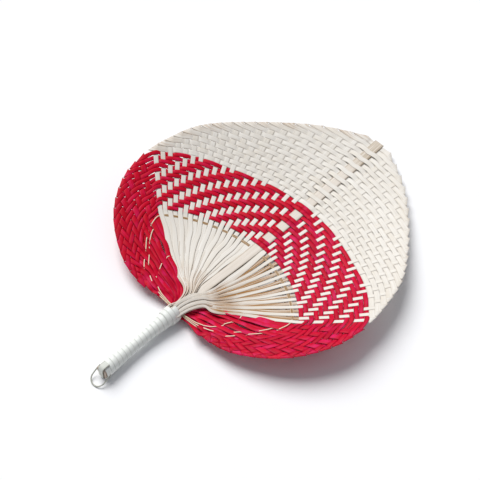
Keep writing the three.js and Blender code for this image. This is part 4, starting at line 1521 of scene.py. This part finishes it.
@dataclass
class SplintHoops:
    """Three thin splints that pass over and under the loose legs and end in the neck."""

    plan: FanPlan
    width: float = 0.8
    arc_widths: tuple[float, ...] = (2.6, 1.4, 1.3)
    arc_lifts: tuple[float, ...] = (0.0, -0.85, 0.0)
    thickness: float = 0.3
    radii: tuple[float, ...] = (104.0, 99.5, 62.0)
    exit_shares: tuple[float, ...] = (0.68, 0.48, 0.28)
    tail: tuple[tuple[float, float], ...] = ((4.4, 1.0), (2.2, 1.0), (1.15, 1.0), (1.0, 0.6), (1.0, 0.0))
    neck_x: float = 5.1
    binding_top: float = 7.5
    stack_lift: float = -0.4
    stack_pitch: float = 0.85
    red_rise: float = 1.0
    rib_rise: float = 0.7
    rib_room: float = 5.2
    leg_room: float = 1.2
    step: float = 0.8
    tail_blend: float = 0.22
    tail_multiples: float = 10.0
    # Painted shade on the hoops where they show in the gaps between the loose natural strips
    arc_painted_shade: float = 3.0
    arc_lead: float = 6.0
    arc_blend: float = 8.0

    def path(self, place: int) -> tuple[PlanPath, float, float]:
        """Right half of a hoop, and the lengths at which its arc ends and its tail starts.

        Args:
            place: 0 for the outer hoop to 2 for the inner.

        Returns:
            The path, the arc's end and the tail's start.
        """
        plan, radius = self.plan, self.radii[place]
        last = plan.red_count + 1
        natural = PlanPath([plan.legs[last].points[-1], plan.gather_point(last)])
        circle = PlanPath([polar(radius, plan.sector * i / 120) for i in range(121)])
        corner = circle.at(circle.meets(natural)[0])
        end = math.atan2(corner[0], corner[1])
        arc = [polar(radius, end * i / 120) for i in range(121)]
        inner = np.linalg.norm(plan.gather_point(plan.red_count))
        first = (radius - inner) / (plan.band_inner - inner)
        bends = [arc[-1]]
        for strip in range(plan.red_count, 0, -1):
            leg = plan.legs[strip]
            hit = plan.rows[1].meets(leg) if strip > 1 else None
            band = leg.at(hit[1]) if hit else leg.points[0]
            share = self.exit_shares[place] - first
            share = first + share * (plan.red_count - strip) / (plan.red_count - 1)
            gather = plan.gather_point(strip)
            bends.append(gather + (band - gather) * share)
        exit_point = bends[-1]
        for x, share in self.tail:
            top = self.binding_top + (exit_point[1] - self.binding_top) * x / self.tail_multiples
            bends.append(np.array([self.neck_x * x, RIB_START + (top - RIB_START) * share]))
        path = PlanPath(np.vstack([arc, spline(bends, 240, even=False)[1:]]))
        nearest = int(np.argmin(np.linalg.norm(path.points - exit_point, axis=1)))
        return path, float(path.lengths[len(arc) - 1]), float(path.lengths[nearest])

    def over(self, place: int, leg: int) -> bool:
        """Whether a hoop passes over a leg, counted from the centre line."""
        run = leg + 1 if place == 0 and leg < self.plan.natural_count else (leg + 1) // 2
        return (run + place) % 2 == 0

    def half(self, place: int, blade: WovenBlade) -> tuple[np.ndarray, np.ndarray, np.ndarray]:
        """Sections of the right half of a hoop.

        Args:
            place: 0 for the outer hoop to 2 for the inner.
            blade: the strips that it passes.

        Returns:
            The rings, the strip attribute of their points and how browned they are.
        """
        path, arc, tail = self.path(place)
        floats = [Float(0.0, self.rib_room, -self.rib_rise)]
        for strip in range(1, self.plan.count + 1):
            hit = path.meets(blade.leg_way(strip, Side.RIGHT)[0])
            if hit:
                level = self.red_rise if self.over(place, self.plan.count - strip) else -self.red_rise / 2
                if self.plan.kind(strip) is Kind.NATURAL:
                    level = self.arc_lifts[place]
                floats.append(Float(hit[0] - self.leg_room, hit[0] + self.leg_room, level))
        floats.sort(key=lambda one: one.enter + one.leave)
        lengths = np.linspace(0, path.total, int(path.total / self.step))
        lift = float_lift(lengths, floats, 0.0)
        stack = self.stack_lift + place * self.stack_pitch
        share = ease((lengths - tail) / (path.total - tail) / self.tail_blend)
        lift = lift * (1 - share) + stack * share
        square = left_of(path.along(lengths))
        u, v = PROFILE.T
        outside = ease((lengths - arc + self.arc_lead) / self.arc_blend)
        width = self.arc_widths[place] * (1 - outside) + self.width * outside
        flat = path.at(lengths)[:, None] + square[:, None] * u[None, :, None] * width[:, None, None] / 2
        height = self.plan.dish(flat) + lift[:, None] + v[None] * self.thickness
        rings = raised(flat, height)
        return rings, strip_marks(lengths, u, 0.3 + 0.2 * place), self.arc_painted_shade * (1 - outside)

    def build(self, blade: WovenBlade) -> None:
        """Make the three hoops.

        Args:
            blade: the strips that they pass.
        """
        finish = SPLINT_BAMBOO.material()
        for place, name in enumerate(("outer_hoop", "middle_hoop", "inner_hoop")):
            rings, marks, ages = self.half(place, blade)
            mirror = rings[:0:-1] * [-1, 1, 1]
            mesh = make_mesh(f"splint_{name}", [np.vstack([mirror, rings])],
                             [np.vstack([marks[:0:-1], marks])], [np.concatenate([ages[:0:-1], ages])])
            add_piece(mesh, finish, "splint", name)


@dataclass
class BoundHandle:
    """The handle: a core, a flat strip wound on it, the collar at the neck and the fold over the butt."""

    plan: FanPlan
    length: float = 77.0
    neck_radius: float = 6.2
    waist_radius: float = 4.0
    butt_radius: float = 5.9
    waist_at: float = 35.0
    width: float = 4.55
    pitch: float = 4.6
    thickness: float = 0.6
    gap: float = 0.3
    top: float = 7.5
    collar_inner: float = 6.9
    collar_fade: float = 8.0
    collar_turns: float = 2.2
    fold_width: float = 6.0
    fold_reach: float = 7.0
    crown: float = 0.22
    lead: float = 2.05
    turn_rings: int = 56
    turn_length: float = 30.0
    core_rings: int = 60
    core_sides: int = 40
    fold_bend: float = 2.2
    fold_round: float = 0.35
    fold_crown: float = 0.12

    @property
    def turns(self) -> float:
        """Turns of the binding between the neck and the fold."""
        return (self.top + self.length - 2 * self.lead) / self.pitch

    def core_radius(self, y: np.ndarray) -> np.ndarray:
        """Radius of the core along the handle.

        Args:
            y: places along the handle.

        Returns:
            One radius for each place.
        """
        down = -y
        near = self.neck_radius + (self.waist_radius - self.neck_radius) * ease(down / self.waist_at)
        far = self.waist_radius + (self.butt_radius - self.waist_radius) * ease(
            (down - self.waist_at) / (self.length - self.waist_at))
        return np.where(down < self.waist_at, near, far)

    def seat_radius(self, y: np.ndarray) -> np.ndarray:
        """Radius of the surface that the binding lies on.

        Args:
            y: places along the handle.

        Returns:
            One radius for each place.
        """
        seat = self.core_radius(np.minimum(y, 0)) + self.gap
        extra = self.collar_inner - self.neck_radius - self.gap
        return np.where(y >= 0, self.collar_inner, seat + extra * (1 - ease(-y / self.collar_fade)))

    def on_axis(self, radius: np.ndarray, angle: np.ndarray, y: np.ndarray) -> np.ndarray:
        """Points about the handle's axis, with the angle from the top."""
        return np.stack([radius * np.sin(angle), y, self.plan.axis_height + radius * np.cos(angle)], -1)

    def winding(self, name: str, turns: float, lift: float, crown: float) -> bpy.types.Mesh:
        """A flat strip wound from the neck towards the butt.

        Args:
            name: the mesh's name.
            turns: how many turns.
            lift: height above the binding's seat.
            crown: rise of the strip's middle.

        Returns:
            The mesh.
        """
        turn = np.linspace(0, turns, int(turns * self.turn_rings))
        u, v = PROFILE.T
        y = self.top - self.lead - self.pitch * turn
        spread = y[:, None] - u[None] * self.width / 2
        radius = (self.seat_radius(spread) + lift + self.thickness / 2 + v[None] * self.thickness
                  + crown * (1 - u[None] ** 2))
        angle = np.broadcast_to(2 * np.pi * turn[:, None], radius.shape)
        rings = self.on_axis(radius, angle, spread)
        return make_mesh(name, [rings], [strip_marks(turn * self.turn_length, u, 0.4)])

    def core(self) -> bpy.types.Mesh:
        """The core, whose end shows at the butt.

        Returns:
            The mesh.
        """
        y = np.linspace(0, -self.length, self.core_rings)
        angle = np.linspace(0, 2 * np.pi, self.core_sides, endpoint=False)
        rings = self.on_axis(*np.broadcast_arrays(self.core_radius(y)[:, None], angle[None], y[:, None]))
        marks = strip_marks(y, np.sin(angle), 0.5)
        return make_mesh("cane_core", [rings[:, ::-1]], [marks[:, ::-1]])

    def butt_fold(self) -> bpy.types.Mesh:
        """The strip's end, turned over the butt from the top to the underside.

        Returns:
            The mesh.
        """
        reach = self.butt_radius + self.gap + 1.5 * self.thickness
        end = -(self.length + self.gap + self.thickness / 2)
        top = -(self.length - self.fold_reach)
        bend, cut = self.fold_bend, self.fold_round * self.fold_bend
        upper = [(top, reach), (end + bend, reach), (end + cut, reach - cut), (end, reach - bend)]
        corners = [*upper, (end, 0.0), *[(y, -rise) for y, rise in upper[::-1]]]
        path = PlanPath(spline(corners, 90, even=False))
        normal = -left_of(path.along(path.lengths))
        u, v = PROFILE.T
        out = v * self.thickness + self.fold_crown * (1 - u**2)
        spot = path.points[:, None] + normal[:, None] * out[None, :, None]
        side = np.broadcast_to(u[None] * self.fold_width / 2, spot.shape[:2])
        rings = np.stack([side, spot[..., 0], self.plan.axis_height + spot[..., 1]], -1)
        marks = strip_marks(path.lengths, u, 0.7)
        return make_mesh("turned_butt_fold", [rings[:, ::-1]], [marks[:, ::-1]])

    def build(self) -> None:
        """Make the four pieces of the handle."""
        wrap = BINDING_PLASTIC.material()
        add_piece(self.core(), CORE_CANE.material(), "handle_core", "handle_core")
        add_piece(self.winding("wound_binding", self.turns, 0.0, 0.0), wrap, "binding", "handle_binding")
        collar = self.winding("wound_collar", self.collar_turns, self.thickness, self.crown)
        add_piece(collar, wrap, "binding", "neck_collar")
        add_piece(self.butt_fold(), FOLD_PLASTIC.material(), "binding", "butt_fold")


@dataclass
class HangingLoop:
    """The thin stiff loop at the butt, whose inturned ends turn in the core."""

    plan: FanPlan
    radius: float = 0.6
    length: float = 17.0
    half_width: float = 6.8
    corner: float = 1.6
    pin_end: float = 1.8
    pivot_y: float = -72.5
    drop: float = 7.7
    corner_cut: float = 0.4
    sides: int = 12

    def build(self) -> None:
        """Make the loop and let it ride on its own body."""
        reach = self.length - self.radius
        bend = self.half_width - self.corner
        half = [(self.pin_end, 0), (bend, 0), (self.half_width - self.corner_cut, -self.corner_cut),
                (self.half_width, -self.corner), (self.half_width, self.half_width - reach)]
        half += [(self.half_width * math.cos(a), self.half_width - reach - self.half_width * math.sin(a))
                 for a in np.linspace(0.3, 1.4, 5)]
        points = [(-x, y) for x, y in half] + [(0, -reach)] + half[::-1]
        path = PlanPath(spline(points, 200, even=False))
        square = left_of(path.along(path.lengths, 0.4))
        angle = np.linspace(0, 2 * np.pi, self.sides, endpoint=False)
        flat = path.points[:, None] + square[:, None] * (self.radius * np.cos(angle))[None, :, None]
        raise_by = np.broadcast_to(self.radius * np.sin(angle)[None], flat.shape[:2])
        tilt = math.asin(self.drop / reach)
        back = self.pivot_y + flat[..., 1] * math.cos(tilt) - raise_by * math.sin(tilt)
        height = self.plan.axis_height + flat[..., 1] * math.sin(tilt) + raise_by * math.cos(tilt)
        rings = np.stack([flat[..., 0], back, height], -1)
        mesh = make_mesh("wire_hanging_loop", [rings], [np.zeros_like(rings)])
        add_piece(mesh, LOOP_LINE.material(), "hanging_loop", "hanging_loop", body="loop")


@dataclass
class Studio:
    """A pale floor, a soft lamp from the upper left, an even sky and the camera."""

    eye: tuple[float, float, float] = (0.4774, -0.4906, 0.9846)
    target: tuple[float, float, float] = (-0.0169, 0.0109, 0.0009)
    view_angle: float = 20.0
    floor_size: float = 6.0
    lamp_way: tuple[float, float, float] = (-0.92, 0.25, 1.3)
    lamp_spread: float = 42.0
    lamp_power: float = 3.05
    sky: str = "f2f5ff"
    sky_strength: float = 0.3

    def camera(self) -> None:
        """Put the camera at the photograph's angle."""
        data = bpy.data.cameras.new("camera")
        data.angle = math.radians(self.view_angle)
        camera = put("camera", data)
        camera.location = self.eye
        camera.rotation_euler = (Vector(self.target) - Vector(self.eye)).to_track_quat("-Z", "Y").to_euler()
        bpy.context.scene.camera = camera

    def light(self) -> None:
        """Floor, lamp and sky."""
        half = self.floor_size / 2
        mesh = bpy.data.meshes.new("floor")
        corners = [(-half, -half, 0), (half, -half, 0), (half, half, 0), (-half, half, 0)]
        mesh.from_pydata(corners, [], [(0, 1, 2, 3)])
        mesh.materials.append(FLOOR_PAPER.material())
        put("floor", mesh)
        data = bpy.data.lights.new("soft_lamp", "SUN")
        data.angle = math.radians(self.lamp_spread)
        data.energy = self.lamp_power
        lamp = put("soft_lamp", data)
        lamp.rotation_euler = (-Vector(self.lamp_way)).to_track_quat("-Z", "Y").to_euler()
        world = bpy.data.worlds.new("sky")
        world.use_nodes = True
        backdrop = world.node_tree.nodes["Background"]
        backdrop.inputs["Color"].default_value = linear(self.sky)
        backdrop.inputs["Strength"].default_value = self.sky_strength
        bpy.context.scene.world = world
        bpy.context.scene.view_settings.view_transform = "Standard"


def main() -> None:
    """Build the fan in order: camera, strips, rib, hoops, handle, loop and light."""
    logging.basicConfig(level=logging.INFO, format="%(message)s")
    studio = Studio()
    studio.camera()
    plan = FanPlan()
    blade = WovenBlade(plan)
    blade.build()
    CentreRib(plan).build()
    SplintHoops(plan).build(blade)
    BoundHandle(plan).build()
    HangingLoop(plan).build()
    studio.light()


if __name__ == "__main__":
    main()
